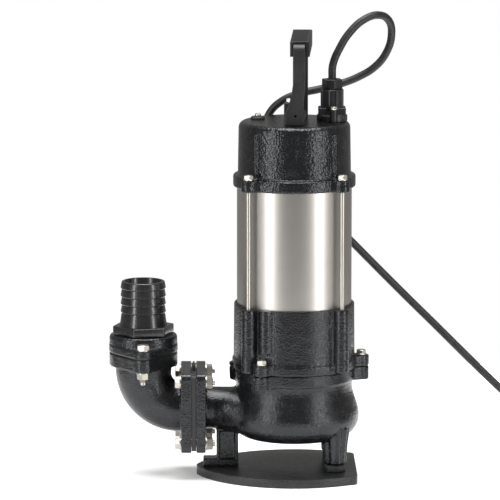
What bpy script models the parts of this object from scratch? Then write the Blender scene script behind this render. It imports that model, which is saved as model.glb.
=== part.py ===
"""Submersible sump pump with its stand, discharge elbow, hose barb, handle and supply cord.

Frame: the origin is on the shaft axis at the underside of the base plate. +Z runs up the shaft,
+X points away from the discharge and -Y towards the front. All values are in metres.
"""
import math

import bmesh
import bpy
from mathutils import Matrix, Vector

# ---- driving dimensions -------------------------------------------------------------------------
GAP = 0.0003                 # clearance between touching pieces

PLATE_ARC = 0.119            # the base plate is the overlap of two discs of this radius
PLATE_OFFSET = 0.0315         # distance of each disc's centre from the shaft axis
PLATE_LEFT = -0.1135
PLATE_RIGHT = 0.072
PLATE_TOP = 0.010

CASING_BOTTOM = 0.045
CASING_TOP = 0.1275
CASING_R = 0.0702
CHAMBER_R = 0.066
COVER_R = 0.060              # bore that holds the seal cover
INLET_R = 0.030

OUTLET_Z = 0.079             # height of the discharge axis
OUTLET_R = 0.021             # valve seat bore in the casing
ELBOW_BORE = 0.0265
ELBOW_R = 0.033
ELBOW_TAPER = 0.90           # radius at the square flange, as a share of ELBOW_R
NECK_R = 0.0245              # casing neck behind its flange
FLANGE_HALF = 0.0465
FLANGE_BOLT = 0.036          # half the bolt spacing of the square flanges
CASING_FLANGE = (-0.1139, -0.1031)
ELBOW_FLANGE = (-0.1315, -0.1197)
RAISED_R = 0.036
VALVE_SHEET = (-0.1181, -0.1155)
VALVE_R = 0.0232
VALVE_HINGE_Z = 0.103

BEND_R = 0.0436
RISER_X = ELBOW_FLANGE[0] - BEND_R
OVAL_R = 0.0394
OVAL_BOLT_Y = 0.0485
OVAL_END_R = 0.0115
ELBOW_TOP = (0.1293, 0.1449)
COMPANION = (0.1457, 0.1540)
COMPANION_HUB_TOP = 0.1660
BARB_TOP = 0.2280
BARB_R = 0.0262
BARB_BORE = 0.0212

HOUSING_BOTTOM = 0.1278
HOUSING_TOP = 0.2030
TUBE_R = 0.0664
TUBE_WALL = 0.0020
TUBE_BOTTOM = 0.1973
TUBE_TOP = 0.3457
CAP_BOTTOM = 0.3394
CAP_RIM_TOP = 0.3530
CAP_TOP = 0.4148
CAP_R = 0.0650

ROD_CIRCLE = 0.0760          # radius of the tie rod circle
ROD_R = 0.0030
LUG_BOLT_CIRCLE = 0.0780
LUG_ROOT = 0.0125            # half width of a lug where it leaves the casting
ROD_ANGLES = (45, 135, 225, 315)
LUG_ANGLES = (0, 120, 240)
BOLT_HOLE = 0.0033

SHAFT_BOTTOM = 0.0680
SHAFT_TOP = 0.3360

HANDLE_TOP = 0.5085
HANDLE_TURN = math.radians(-3.7)
HANDLE_X = 0.0070

GLAND_X = 0.0433
GLAND_TOP = 0.4633

CORD_R = 0.0045
COIL_CENTRE = (0.350, 0.005)
COIL_INNER = 0.0315
COIL_OUTER = 0.0747
COIL_HEIGHT = 0.0373
TAIL_X = 0.2798
PLUG_Y = 0.090

FINE = 32                    # sides of the large round castings
ROUND = 20                   # sides of the medium round pieces
SMALL = 8                   # sides of fasteners

# ---- scene and helpers --------------------------------------------------------------------------
for old in list(bpy.data.objects):
    bpy.data.objects.remove(old, do_unlink=True)


def new_collection(name):
    collection = bpy.data.collections.new(name)
    bpy.context.scene.collection.children.link(collection)
    return collection


PUMP = new_collection("submersible_pump")
CUTTERS = new_collection("cutters")


def finish(name, colour, roughness, metallic):
    """One Principled BSDF material."""
    material = bpy.data.materials.new(name)
    material.use_nodes = True
    shader = material.node_tree.nodes["Principled BSDF"]
    shader.inputs["Base Color"].default_value = (*colour, 1.0)
    shader.inputs["Roughness"].default_value = roughness
    shader.inputs["Metallic"].default_value = metallic
    return material


CAST = finish("black_cast_iron", (0.018, 0.018, 0.019), 0.45, 0.0)
STEEL = finish("stainless_steel", (0.62, 0.60, 0.57), 0.28, 1.0)
FASTENER = finish("plated_fastener", (0.66, 0.64, 0.60), 0.35, 1.0)
RUBBER = finish("black_rubber", (0.030, 0.030, 0.031), 0.70, 0.0)
PLASTIC = finish("black_plastic", (0.025, 0.025, 0.027), 0.50, 0.0)
CORD_RUBBER = finish("grey_cord_rubber", (0.060, 0.060, 0.062), 0.65, 0.0)
COPPER = finish("copper_winding", (0.60, 0.25, 0.10), 0.40, 1.0)
CORE = finish("lamination_steel", (0.30, 0.30, 0.31), 0.50, 1.0)
CERAMIC = finish("seal_ceramic", (0.75, 0.73, 0.68), 0.30, 0.0)
BRASS = finish("brass_blade", (0.70, 0.52, 0.24), 0.30, 1.0)


def add_object(name, mesh, material, at=(0, 0, 0), turn=(0, 0, 0)):
    """Put a mesh in the pump's collection as one named object."""
    body = bpy.data.objects.new(name, mesh)
    body.location = at
    body.rotation_euler = turn
    if not mesh.materials:
        mesh.materials.append(material)
    PUMP.objects.link(body)
    return body


def mesh_from(name, bm):
    mesh = bpy.data.meshes.new(name)
    bmesh.ops.recalc_face_normals(bm, faces=bm.faces)
    bm.to_mesh(mesh)
    bm.free()
    return mesh


def turned(name, profile, material, steps=FINE, ring=False, at=(0, 0, 0), turn=(0, 0, 0)):
    """A profile of (radius, height) points, down the outer side, spun about Z."""
    mesh = bpy.data.meshes.new(name)
    edges = [(i, i + 1) for i in range(len(profile) - 1)]
    if ring:
        edges.append((len(profile) - 1, 0))
    mesh.from_pydata([(radius, 0.0, height) for radius, height in profile], edges, [])
    body = add_object(name, mesh, material, at, turn)
    spin = body.modifiers.new("Spin", "SCREW")
    spin.axis = "Z"
    spin.angle = math.tau
    spin.steps = steps
    spin.render_steps = steps
    spin.use_merge_vertices = True
    spin.merge_threshold = 0.00001
    return body


def rod(name, radius, start, end, material, sides=ROUND, end_radius=None, spin=0.0):
    """A cylinder or cone between two points."""
    start = Vector(start)
    along = Vector(end) - start
    place = Matrix.Translation(start + along / 2)
    place = place @ along.to_track_quat("Z", "X").to_matrix().to_4x4()
    place = place @ Matrix.Rotation(spin, 4, "Z")
    bm = bmesh.new()
    bmesh.ops.create_cone(bm, cap_ends=True, segments=sides, radius1=radius,
                          radius2=radius if end_radius is None else end_radius,
                          depth=along.length, matrix=place)
    return add_object(name, mesh_from(name, bm), material)


def bore(name, radius, start, end, sides=SMALL):
    """A drill for a hole whose flats, not its corners, are at radius."""
    return rod(name, radius / math.cos(math.pi / sides), start, end, CAST, sides)


def block(name, low, high, material, edge=0.0, at=(0, 0, 0), turn=(0, 0, 0)):
    """A box between two corners, with its edges bevelled by edge."""
    low = Vector(low)
    high = Vector(high)
    bm = bmesh.new()
    bmesh.ops.create_cube(bm, size=1.0)
    bmesh.ops.scale(bm, vec=high - low, verts=bm.verts)
    bmesh.ops.translate(bm, vec=(low + high) / 2, verts=bm.verts)
    if edge:
        bmesh.ops.bevel(bm, geom=list(bm.edges), offset=edge, segments=2, profile=0.5, affect="EDGES")
    return add_object(name, mesh_from(name, bm), material, at, turn)


def evaluated_mesh(body):
    """A plain mesh of an object with its modifiers applied, welded."""
    graph = bpy.context.evaluated_depsgraph_get()
    mesh = bpy.data.meshes.new_from_object(body.evaluated_get(graph))
    bm = bmesh.new()
    bm.from_mesh(mesh)
    bmesh.ops.remove_doubles(bm, verts=bm.verts, dist=0.000005)
    bm.to_mesh(mesh)
    bm.free()
    return mesh


def curve_to_mesh(name, curve, material):
    """Turn a curve into a welded mesh object and remove the curve."""
    holder = bpy.data.objects.new(name + "_curve", curve)
    PUMP.objects.link(holder)
    bpy.context.view_layer.update()
    mesh = evaluated_mesh(holder)
    mesh.materials.clear()
    bpy.data.objects.remove(holder, do_unlink=True)
    return add_object(name, mesh, material)


def flat(name, outline, low, high, material, axis="Z"):
    """A flat outline with thickness from low to high along axis.

    The outline is (x, y) for axis Z, (y, z) for axis X and (x, z) for axis Y.
    """
    curve = bpy.data.curves.new(name, "CURVE")
    curve.dimensions = "2D"
    curve.fill_mode = "BOTH"
    curve.extrude = (high - low) / 2
    spline = curve.splines.new("POLY")
    spline.points.add(len(outline) - 1)
    spline.use_cyclic_u = True
    for point, (u, v) in zip(spline.points, outline):
        point.co = (u, v, 0.0, 1.0)
    body = curve_to_mesh(name, curve, material)
    middle = (low + high) / 2
    frames = {
        "Z": Matrix.Translation((0, 0, middle)),
        "X": Matrix(((0, 0, 1, middle), (1, 0, 0, 0), (0, 1, 0, 0), (0, 0, 0, 1))),
        "Y": Matrix(((1, 0, 0, 0), (0, 0, -1, middle), (0, 1, 0, 0), (0, 0, 0, 1))),
    }
    body.data.transform(frames[axis])
    return body


def tube_along(name, points, radius, material, fineness, cyclic=False, taper=1.0):
    """A round bar along a line of points, starting at taper times its radius."""
    curve = bpy.data.curves.new(name, "CURVE")
    curve.dimensions = "3D"
    curve.bevel_depth = radius
    curve.bevel_resolution = fineness
    curve.use_fill_caps = True
    spline = curve.splines.new("POLY")
    spline.points.add(len(points) - 1)
    spline.use_cyclic_u = cyclic
    for i, (point, place) in enumerate(zip(spline.points, points)):
        point.co = (*place, 1.0)
        point.radius = taper + (1.0 - taper) * (i / (len(points) - 1)) ** 1.5
    return curve_to_mesh(name, curve, material)


def as_tool(tool):
    """Move an object among the cutters, where it stays out of the model."""
    PUMP.objects.unlink(tool)
    CUTTERS.objects.link(tool)
    tool.hide_render = True
    tool.display_type = "WIRE"


def combine(body, operation, tools):
    for tool in tools:
        as_tool(tool)
        step = body.modifiers.new(tool.name, "BOOLEAN")
        step.operation = operation
        step.object = tool
        step.solver = "EXACT"


def join(body, *tools):
    combine(body, "UNION", tools)


def cut(body, *tools):
    combine(body, "DIFFERENCE", tools)


def smooth(body):
    """Shade the round faces smooth and keep the edges sharp."""
    body.data.shade_smooth()
    body.data.set_sharp_from_angle(angle=math.radians(35))


def arc(centre, radius, start, end, count):
    """Points on an arc, angles in degrees, both ends included."""
    angles = [math.radians(start + (end - start) * i / count) for i in range(count + 1)]
    return [(centre[0] + radius * math.cos(a), centre[1] + radius * math.sin(a)) for a in angles]


def rounded(half_u, half_v, radius, centre=(0.0, 0.0), count=4):
    """A rectangle outline with round corners, anticlockwise."""
    points = []
    for quarter, (su, sv) in enumerate(((1, 1), (-1, 1), (-1, -1), (1, -1))):
        middle = (centre[0] + su * (half_u - radius), centre[1] + sv * (half_v - radius))
        points += arc(middle, radius, 90 * quarter, 90 * quarter + 90, count)
    return points


def lug(name, angle, reach, radius, low, high, inner=0.058, root=0.0):
    """A radial lug: a round end at reach, with sides back to inner that widen to root if it is given."""
    shoulder = [(0.0700, root)] if root else []
    low_side = [(inner, -max(root, radius)), *((x, -y) for x, y in shoulder)]
    high_side = [*shoulder, (inner, max(root, radius))]
    outline = [*low_side, *arc((reach, 0.0), radius, -90, 90, 8), *high_side]
    body = flat(name, outline, low, high, CAST)
    body.data.transform(Matrix.Rotation(math.radians(angle), 4, "Z"))
    return body


def on_circle(radius, angle, height=0.0):
    a = math.radians(angle)
    return Vector((radius * math.cos(a), radius * math.sin(a), height))


def smooth_line(points, spacing):
    """Points every spacing along a smooth curve through the given points."""
    places = [Vector(p) for p in points]
    places = [2 * places[0] - places[1], *places, 2 * places[-1] - places[-2]]
    dense = []
    for a, b, c, d in zip(places, places[1:], places[2:], places[3:]):
        for i in range(24):
            t = i / 24
            dense.append(0.5 * (2 * b + (c - a) * t + (2 * a - 5 * b + 4 * c - d) * t * t
                                + (3 * b - a - 3 * c + d) * t * t * t))
    dense.append(places[-2])
    lengths = [0.0]
    for a, b in zip(dense, dense[1:]):
        lengths.append(lengths[-1] + (b - a).length)
    count = max(2, round(lengths[-1] / spacing))
    line = []
    k = 0
    for i in range(count + 1):
        goal = lengths[-1] * i / count
        while k < len(dense) - 2 and lengths[k + 1] < goal:
            k += 1
        share = (goal - lengths[k]) / (lengths[k + 1] - lengths[k])
        line.append(dense[k].lerp(dense[k + 1], share))
    return line


# ---- fasteners ----------------------------------------------------------------------------------
def bolt_mesh(name, flats, head, shank_r, length, washer_r, washer=0.0015):
    """A hex bolt with its washer: the washer sits on z = 0 and the shank runs down."""
    body = rod(name, flats / math.sqrt(3), (0, 0, washer - 0.0002), (0, 0, washer + head), FASTENER, 6)
    join(body, rod(name + "_washer", washer_r, (0, 0, 0), (0, 0, washer), FASTENER, 12))
    join(body, rod(name + "_shank", shank_r, (0, 0, -length), (0, 0, washer / 2), FASTENER, SMALL))
    bpy.context.view_layer.update()
    mesh = evaluated_mesh(body)
    bpy.data.objects.remove(body, do_unlink=True)
    return mesh


def nut_mesh(name, flats, height, hole_r, washer_r, washer=0.0015):
    """A hex nut with its washer on z = 0, bored for the shank."""
    body = rod(name, flats / math.sqrt(3), (0, 0, washer - 0.0002), (0, 0, washer + height), FASTENER, 6)
    join(body, rod(name + "_washer", washer_r, (0, 0, 0), (0, 0, washer), FASTENER, 12))
    cut(body, bore(name + "_bore", hole_r, (0, 0, -0.01), (0, 0, height + 0.02)))
    bpy.context.view_layer.update()
    mesh = evaluated_mesh(body)
    bpy.data.objects.remove(body, do_unlink=True)
    return mesh


TURN_LEFT = (0, -math.pi / 2, 0)      # local +Z points to -X
TURN_RIGHT = (0, math.pi / 2, 0)      # local +Z points to +X
TURN_DOWN = (math.pi, 0, 0)


# ---- stand --------------------------------------------------------------------------------------
def make_stand():
    def half_depth(x):
        return math.sqrt(PLATE_ARC ** 2 - x ** 2) - PLATE_OFFSET

    count = 18
    xs = [PLATE_LEFT + (PLATE_RIGHT - PLATE_LEFT) * i / count for i in range(count + 1)]
    front = [(x, -half_depth(x)) for x in xs]
    back = [(x, half_depth(x)) for x in reversed(xs)]
    plate = flat("base_plate", front + back, 0.0, PLATE_TOP, CAST)
    bm = bmesh.new()
    bm.from_mesh(plate.data)
    corners = [e for e in bm.edges if e.verts[0].co.x > PLATE_RIGHT - 0.0001
               and e.verts[1].co.x > PLATE_RIGHT - 0.0001
               and abs(e.verts[0].co.z - e.verts[1].co.z) > 0.005]
    bmesh.ops.bevel(bm, geom=corners, offset=0.009, segments=4, profile=0.5, affect="EDGES")
    bm.to_mesh(plate.data)
    bm.free()
    for side, y in (("front", -0.038), ("rear", 0.038)):
        foot = rod("stand_nut_" + side, 0.0128, (0.0465, y, PLATE_TOP + GAP), (0.0465, y, 0.0187),
                   CAST, 6, end_radius=0.0120, spin=math.radians(15))
        smooth(foot)


# ---- pump casing --------------------------------------------------------------------------------
# The casing neck's elliptical sections: (x, half width, half height, height of the centre).
NECK_SECTIONS = [
    (CASING_FLANGE[0] + 0.004, NECK_R, NECK_R, 0.0785), (-0.0930, 0.0255, NECK_R, 0.0783),
    (-0.0840, 0.0290, 0.0247, 0.0778), (-0.0760, 0.0340, 0.0252, 0.0771), (-0.0670, 0.0405, 0.0260, 0.0760),
    (-0.0560, 0.0490, 0.0268, 0.0748), (-0.0440, 0.0575, 0.0274, 0.0740), (-0.0320, 0.0640, 0.0276, 0.0738),
    (-0.0200, 0.0660, 0.0270, 0.0738),
]


def lofted(name, sections, sides, material):
    """A solid through elliptical sections square to X."""
    bm = bmesh.new()
    loops = []
    for x, half_width, half_height, middle in sections:
        turns = [math.tau * i / sides for i in range(sides)]
        ring = [(x, half_width * math.cos(t), middle + half_height * math.sin(t)) for t in turns]
        loops.append([bm.verts.new(place) for place in ring])
    for near, far in zip(loops, loops[1:]):
        for i in range(sides):
            bm.faces.new((near[i], near[(i + 1) % sides], far[(i + 1) % sides], far[i]))
    bm.faces.new(loops[0])
    bm.faces.new(loops[-1])
    return add_object(name, mesh_from(name, bm), material)


def make_casing():
    outer = [(0, CASING_TOP), (CASING_R, CASING_TOP), (CASING_R, 0.1142), (0.0680, 0.1126), (0.0676, 0.1070),
             (0.0680, 0.1015), (0.0696, 0.0950), (0.0722, 0.0870), (0.0746, 0.0795), (0.0757, 0.0740),
             (0.0758, 0.0695), (0.0750, 0.0640), (0.0730, 0.0588), (0.0694, 0.0535), (0.0640, 0.0490),
             (0.0580, 0.0462), (0.0520, CASING_BOTTOM), (0, CASING_BOTTOM)]
    casing = turned("pump_casing", outer, CAST)
    neck = lofted("neck", NECK_SECTIONS, 32, CAST)
    flange = flat("casing_flange", rounded(FLANGE_HALF, FLANGE_HALF, 0.006, (0, OUTLET_Z)),
                  *CASING_FLANGE, CAST, "X")
    raised = rod("casing_raised_face", RAISED_R, (CASING_FLANGE[0] - 0.0013, 0, OUTLET_Z),
                 (CASING_FLANGE[0] + 0.002, 0, OUTLET_Z), CAST, ROUND)
    join(casing, neck, flange, raised)
    for angle in LUG_ANGLES:
        join(casing, lug("casing_lug_%d" % angle, angle, LUG_BOLT_CIRCLE, 0.009, 0.1122, CASING_TOP - 0.0001,
                         root=LUG_ROOT))
    join(casing, lug("casing_dowel_lug", 180, 0.0675, 0.008, 0.1115, CASING_TOP - 0.0001))
    for side, y in (("front", -0.038), ("rear", 0.038)):
        flutes = [on_circle(0.0132 if i % 2 else 0.0118, 18 * i) for i in range(20)]
        outline = [(0.0465 + p.x, y + p.y) for p in flutes]
        join(casing, flat("leg_" + side, outline, 0.0190, 0.0620, CAST))
    join(casing, block("foot_column", (-0.0890, -0.0110, PLATE_TOP + GAP), (-0.0650, 0.0110, 0.0560), CAST),
         block("foot_pad", (-0.1060, -0.0110, PLATE_TOP + GAP), (-0.0880, 0.0110, 0.0195), CAST))
    chamber = [(0, 0.1300), (COVER_R, 0.1300), (COVER_R, 0.1077), (0.0560, 0.1077), (0.0560, 0.0990),
               (0.0620, 0.0965), (CHAMBER_R, 0.0800), (CHAMBER_R, 0.0670), (0.0610, 0.0570),
               (0.0500, 0.0505), (0, 0.0505)]
    cut(casing, turned("chamber", chamber, CAST),
        rod("outlet_bore", OUTLET_R, (-0.125, 0, OUTLET_Z), (-0.050, 0, OUTLET_Z), CAST, ROUND),
        rod("inlet_bore", INLET_R, (0, 0, 0.030), (0, 0, 0.055), CAST, ROUND))
    for y in (-FLANGE_BOLT, FLANGE_BOLT):
        for z in (OUTLET_Z - FLANGE_BOLT, OUTLET_Z + FLANGE_BOLT):
            cut(casing, bore("casing_flange_hole", 0.0043, (-0.120, y, z), (-0.098, y, z)))
    for angle in LUG_ANGLES:
        cut(casing, bore("casing_lug_hole", BOLT_HOLE, on_circle(LUG_BOLT_CIRCLE, angle, 0.105),
                        on_circle(LUG_BOLT_CIRCLE, angle, 0.135)))
    smooth(casing)


# ---- check valve and discharge ------------------------------------------------------------------
def make_valve():
    sheet = rod("valve_gasket", 0.0390, (VALVE_SHEET[0], 0, OUTLET_Z), (VALVE_SHEET[1], 0, OUTLET_Z),
                RUBBER, 24)
    join(sheet, block("gasket_tab", (VALVE_SHEET[0] + 0.0002, 0.010, 0.100),
                      (VALVE_SHEET[1] - 0.0002, 0.030, 0.131), RUBBER))
    cut(sheet, rod("gasket_hole", 0.0243, (-0.125, 0, OUTLET_Z), (-0.110, 0, OUTLET_Z), RUBBER, 24))
    middle = (VALVE_SHEET[0] + VALVE_SHEET[1]) / 2
    flap = rod("valve_flap", VALVE_R, (-0.0012, 0, OUTLET_Z - VALVE_HINGE_Z),
               (0.0012, 0, OUTLET_Z - VALVE_HINGE_Z), RUBBER, 24)
    flap.location = (middle, 0, VALVE_HINGE_Z)
    weight = rod("valve_weight", 0.0130, (-0.0045, 0, OUTLET_Z - VALVE_HINGE_Z),
                 (-0.0015, 0, OUTLET_Z - VALVE_HINGE_Z), FASTENER, 24)
    weight.location = (middle, 0, VALVE_HINGE_Z)
    smooth(flap)
    smooth(weight)


def oval_outline(grow=0.0):
    """A lozenge flange: a large round middle with two small round ends along Y."""
    big = OVAL_R + grow
    end = OVAL_END_R + grow
    lean = math.degrees(math.acos((big - end) / OVAL_BOLT_Y))
    right = arc((0.0, 0.0), big, lean - 90, 90 - lean, 10)
    left = arc((0.0, 0.0), big, 90 + lean, 270 - lean, 10)
    rear = arc((0.0, OVAL_BOLT_Y), end, 90 - lean, 90 + lean, 6)
    front = arc((0.0, -OVAL_BOLT_Y), end, 270 - lean, 270 + lean, 6)
    return [(x + RISER_X, y) for x, y in right + rear + left + front]


def elbow_line(start_x, top_z, count=7):
    """Centreline from the square flange, round the bend and up the riser."""
    bend = arc((ELBOW_FLANGE[0], OUTLET_Z + BEND_R), BEND_R, 270, 180, count)
    return [(start_x, 0, OUTLET_Z)] + [(x, 0, z) for x, z in bend] + [(RISER_X, 0, top_z)]


def make_elbow():
    elbow = tube_along("discharge_elbow", elbow_line(-0.1230, 0.1380), ELBOW_R, CAST, 8,
                       taper=ELBOW_TAPER)
    square = flat("elbow_flange", rounded(FLANGE_HALF, FLANGE_HALF, 0.006, (0, OUTLET_Z)),
                  *ELBOW_FLANGE, CAST, "X")
    raised = rod("elbow_raised_face", RAISED_R, (ELBOW_FLANGE[1] - 0.002, 0, OUTLET_Z),
                 (ELBOW_FLANGE[1] + 0.0013, 0, OUTLET_Z), CAST, ROUND)
    top = flat("elbow_top_flange", oval_outline(), *ELBOW_TOP, CAST)
    join(elbow, square, raised, top)
    cut(elbow, tube_along("elbow_bore", elbow_line(-0.1100, 0.1600), ELBOW_BORE, CAST, 7))
    for y in (-FLANGE_BOLT, FLANGE_BOLT):
        for z in (OUTLET_Z - FLANGE_BOLT, OUTLET_Z + FLANGE_BOLT):
            cut(elbow, bore("elbow_hole", 0.0043, (-0.136, y, z), (-0.114, y, z)))
    for y in (-OVAL_BOLT_Y, OVAL_BOLT_Y):
        cut(elbow, bore("elbow_top_hole", 0.0043, (RISER_X, y, 0.120), (RISER_X, y, 0.150)))
    smooth(elbow)

    companion = flat("companion_flange", oval_outline(0.0004), *COMPANION, CAST)
    hub = [(0, COMPANION_HUB_TOP), (0.0362, COMPANION_HUB_TOP), (0.0384, 0.1650), (0.0393, 0.1625),
           (0.0393, 0.1510), (0, 0.1510)]
    join(companion, turned("companion_hub", hub, CAST, ROUND, at=(RISER_X, 0, 0)))
    cut(companion, rod("companion_bore", 0.0240, (RISER_X, 0, 0.140), (RISER_X, 0, 0.170), CAST, ROUND))
    for y in (-OVAL_BOLT_Y, OVAL_BOLT_Y):
        cut(companion, bore("companion_hole", 0.0043, (RISER_X, y, 0.140), (RISER_X, y, 0.160)))
    for y in (-OVAL_BOLT_Y, OVAL_BOLT_Y):
        cut(companion, bore("companion_spotface", 0.0092, (RISER_X, y, COMPANION[1] + 0.0002),
                           (RISER_X, y, 0.180)))
    smooth(companion)


def make_barb():
    """The hose barb: a stack of cones above a hexagon, with a spigot in the flange."""
    pitch = 0.0093
    profile = [(BARB_BORE + 0.0006, BARB_TOP), (0.0236, BARB_TOP), (0.0250, BARB_TOP - 0.0016)]
    for i in range(4):
        crest = BARB_TOP - 0.0075 - i * pitch
        profile += [(BARB_R, crest), (BARB_R, crest - 0.0012), (BARB_R - 0.0012, crest - 0.0016)]
    profile += [(0.0268, 0.1800), (0.0276, 0.1768), (0.0276, 0.1720), (0.0236, 0.1720), (0.0236, 0.1500),
                (BARB_BORE, 0.1500), (BARB_BORE, BARB_TOP - 0.0010)]
    barb = turned("hose_barb", profile, PLASTIC, ROUND, ring=True, at=(RISER_X, 0, 0))
    hexagon = rod("barb_hexagon", 0.0363, (RISER_X, 0, COMPANION_HUB_TOP + GAP), (RISER_X, 0, 0.1764),
                  PLASTIC, 6, spin=math.radians(-16.9))
    cut(hexagon, rod("hexagon_bore", 0.0225, (RISER_X, 0, 0.150), (RISER_X, 0, 0.190), PLASTIC, ROUND))
    join(barb, hexagon)
    smooth(barb)


def make_flange_bolts():
    bolt = bolt_mesh("flange_bolt", 0.013, 0.0055, 0.0040, 0.0400, 0.0080)
    nut = nut_mesh("flange_nut", 0.013, 0.0065, 0.0043, 0.0080)
    places = {"front_low": (-1, -1), "front_high": (-1, 1), "rear_low": (1, -1), "rear_high": (1, 1)}
    for name, (side, level) in places.items():
        y = side * FLANGE_BOLT
        z = OUTLET_Z + level * FLANGE_BOLT
        add_object("flange_bolt_" + name, bolt, FASTENER, (ELBOW_FLANGE[0] - GAP, y, z), TURN_LEFT)
        add_object("flange_nut_" + name, nut, FASTENER, (CASING_FLANGE[1] + GAP, y, z), TURN_RIGHT)
    long_bolt = bolt_mesh("elbow_bolt", 0.013, 0.0053, 0.0040, 0.0400, 0.0080)
    for side, y in (("front", -OVAL_BOLT_Y), ("rear", OVAL_BOLT_Y)):
        add_object("elbow_bolt_" + side, long_bolt, FASTENER, (RISER_X, y, COMPANION[1] + GAP))
        add_object("elbow_nut_" + side, nut, FASTENER, (RISER_X, y, ELBOW_TOP[0] - GAP), TURN_DOWN)


# ---- oil housing --------------------------------------------------------------------------------
def make_housing():
    outer = [(0, HOUSING_TOP), (0.0697, HOUSING_TOP), (0.0702, 0.1450), (0.0704, 0.1395), (0.0718, 0.1380),
             (0.0720, HOUSING_BOTTOM), (0, HOUSING_BOTTOM)]
    housing = turned("oil_housing", outer, CAST)
    for angle in ROD_ANGLES:
        join(housing, lug("rod_column_%d" % angle, angle, ROD_CIRCLE - 0.0005, 0.0084, 0.1290,
                          HOUSING_TOP - 0.0001))
    for angle in LUG_ANGLES:
        join(housing, lug("housing_lug_%d" % angle, angle, LUG_BOLT_CIRCLE, 0.009, HOUSING_BOTTOM + 0.0001,
                          0.1405, root=LUG_ROOT))
    join(housing, lug("housing_dowel_lug", 180, 0.0675, 0.008, HOUSING_BOTTOM + 0.0001, 0.1325))
    for angle in (120, 240):
        join(housing, lug("bolt_ridge_%d" % angle, angle, 0.0680, 0.0080, 0.1530, HOUSING_TOP - 0.0002))
    join(housing, rod("oil_plug_boss", 0.0120, (0, 0.060, 0.168), (0, 0.0735, 0.168), CAST, 20))
    oil_space = [(0, 0.1740), (0.0270, 0.1740), (0.0270, 0.1860), (COVER_R, 0.1860), (COVER_R, 0.1200),
                 (0, 0.1200)]
    motor_space = [(0, 0.2100), (TUBE_R + GAP, 0.2100), (TUBE_R + GAP, 0.1970), (0.0610, 0.1970),
                   (0.0610, 0.1925), (0.0200, 0.1925), (0.0200, 0.1812), (0, 0.1812)]
    cut(housing, turned("oil_space", oil_space, CAST), turned("motor_space", motor_space, CAST),
        rod("shaft_hole", 0.0100, (0, 0, 0.170), (0, 0, 0.186), CAST, 20),
        bore("oil_plug_hole", 0.0063, (0, 0.050, 0.168), (0, 0.080, 0.168)))
    for angle in LUG_ANGLES:
        cut(housing, bore("housing_lug_hole", BOLT_HOLE, on_circle(LUG_BOLT_CIRCLE, angle, 0.120),
                         on_circle(LUG_BOLT_CIRCLE, angle, 0.145)))
    for angle in ROD_ANGLES:
        cut(housing, bore("rod_hole", BOLT_HOLE, on_circle(ROD_CIRCLE, angle, 0.1795),
                         on_circle(ROD_CIRCLE, angle, 0.210)))
    smooth(housing)
    plug = rod("oil_plug", 0.0060, (0, 0.0625, 0.168), (0, 0.0745, 0.168), FASTENER, SMALL)
    join(plug, rod("oil_plug_head", 0.0085, (0, 0.0738, 0.168), (0, 0.0790, 0.168), FASTENER, 6))

    bolt = bolt_mesh("casing_bolt", 0.010, 0.0042, 0.0030, 0.0275, 0.0062)
    for name, angle in (("right", 0), ("rear", 120), ("front", 240)):
        add_object("casing_bolt_" + name, bolt, FASTENER, on_circle(LUG_BOLT_CIRCLE, angle, 0.1405 + GAP))

    cover = [(0.0597, 0.1274), (0.0597, 0.1080), (0.0090, 0.1080), (0.0090, 0.1220), (0.0240, 0.1220),
             (0.0240, 0.1140), (0.0540, 0.1140), (0.0540, 0.1274)]
    smooth(turned("seal_cover", cover, CAST, ring=True))


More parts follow.
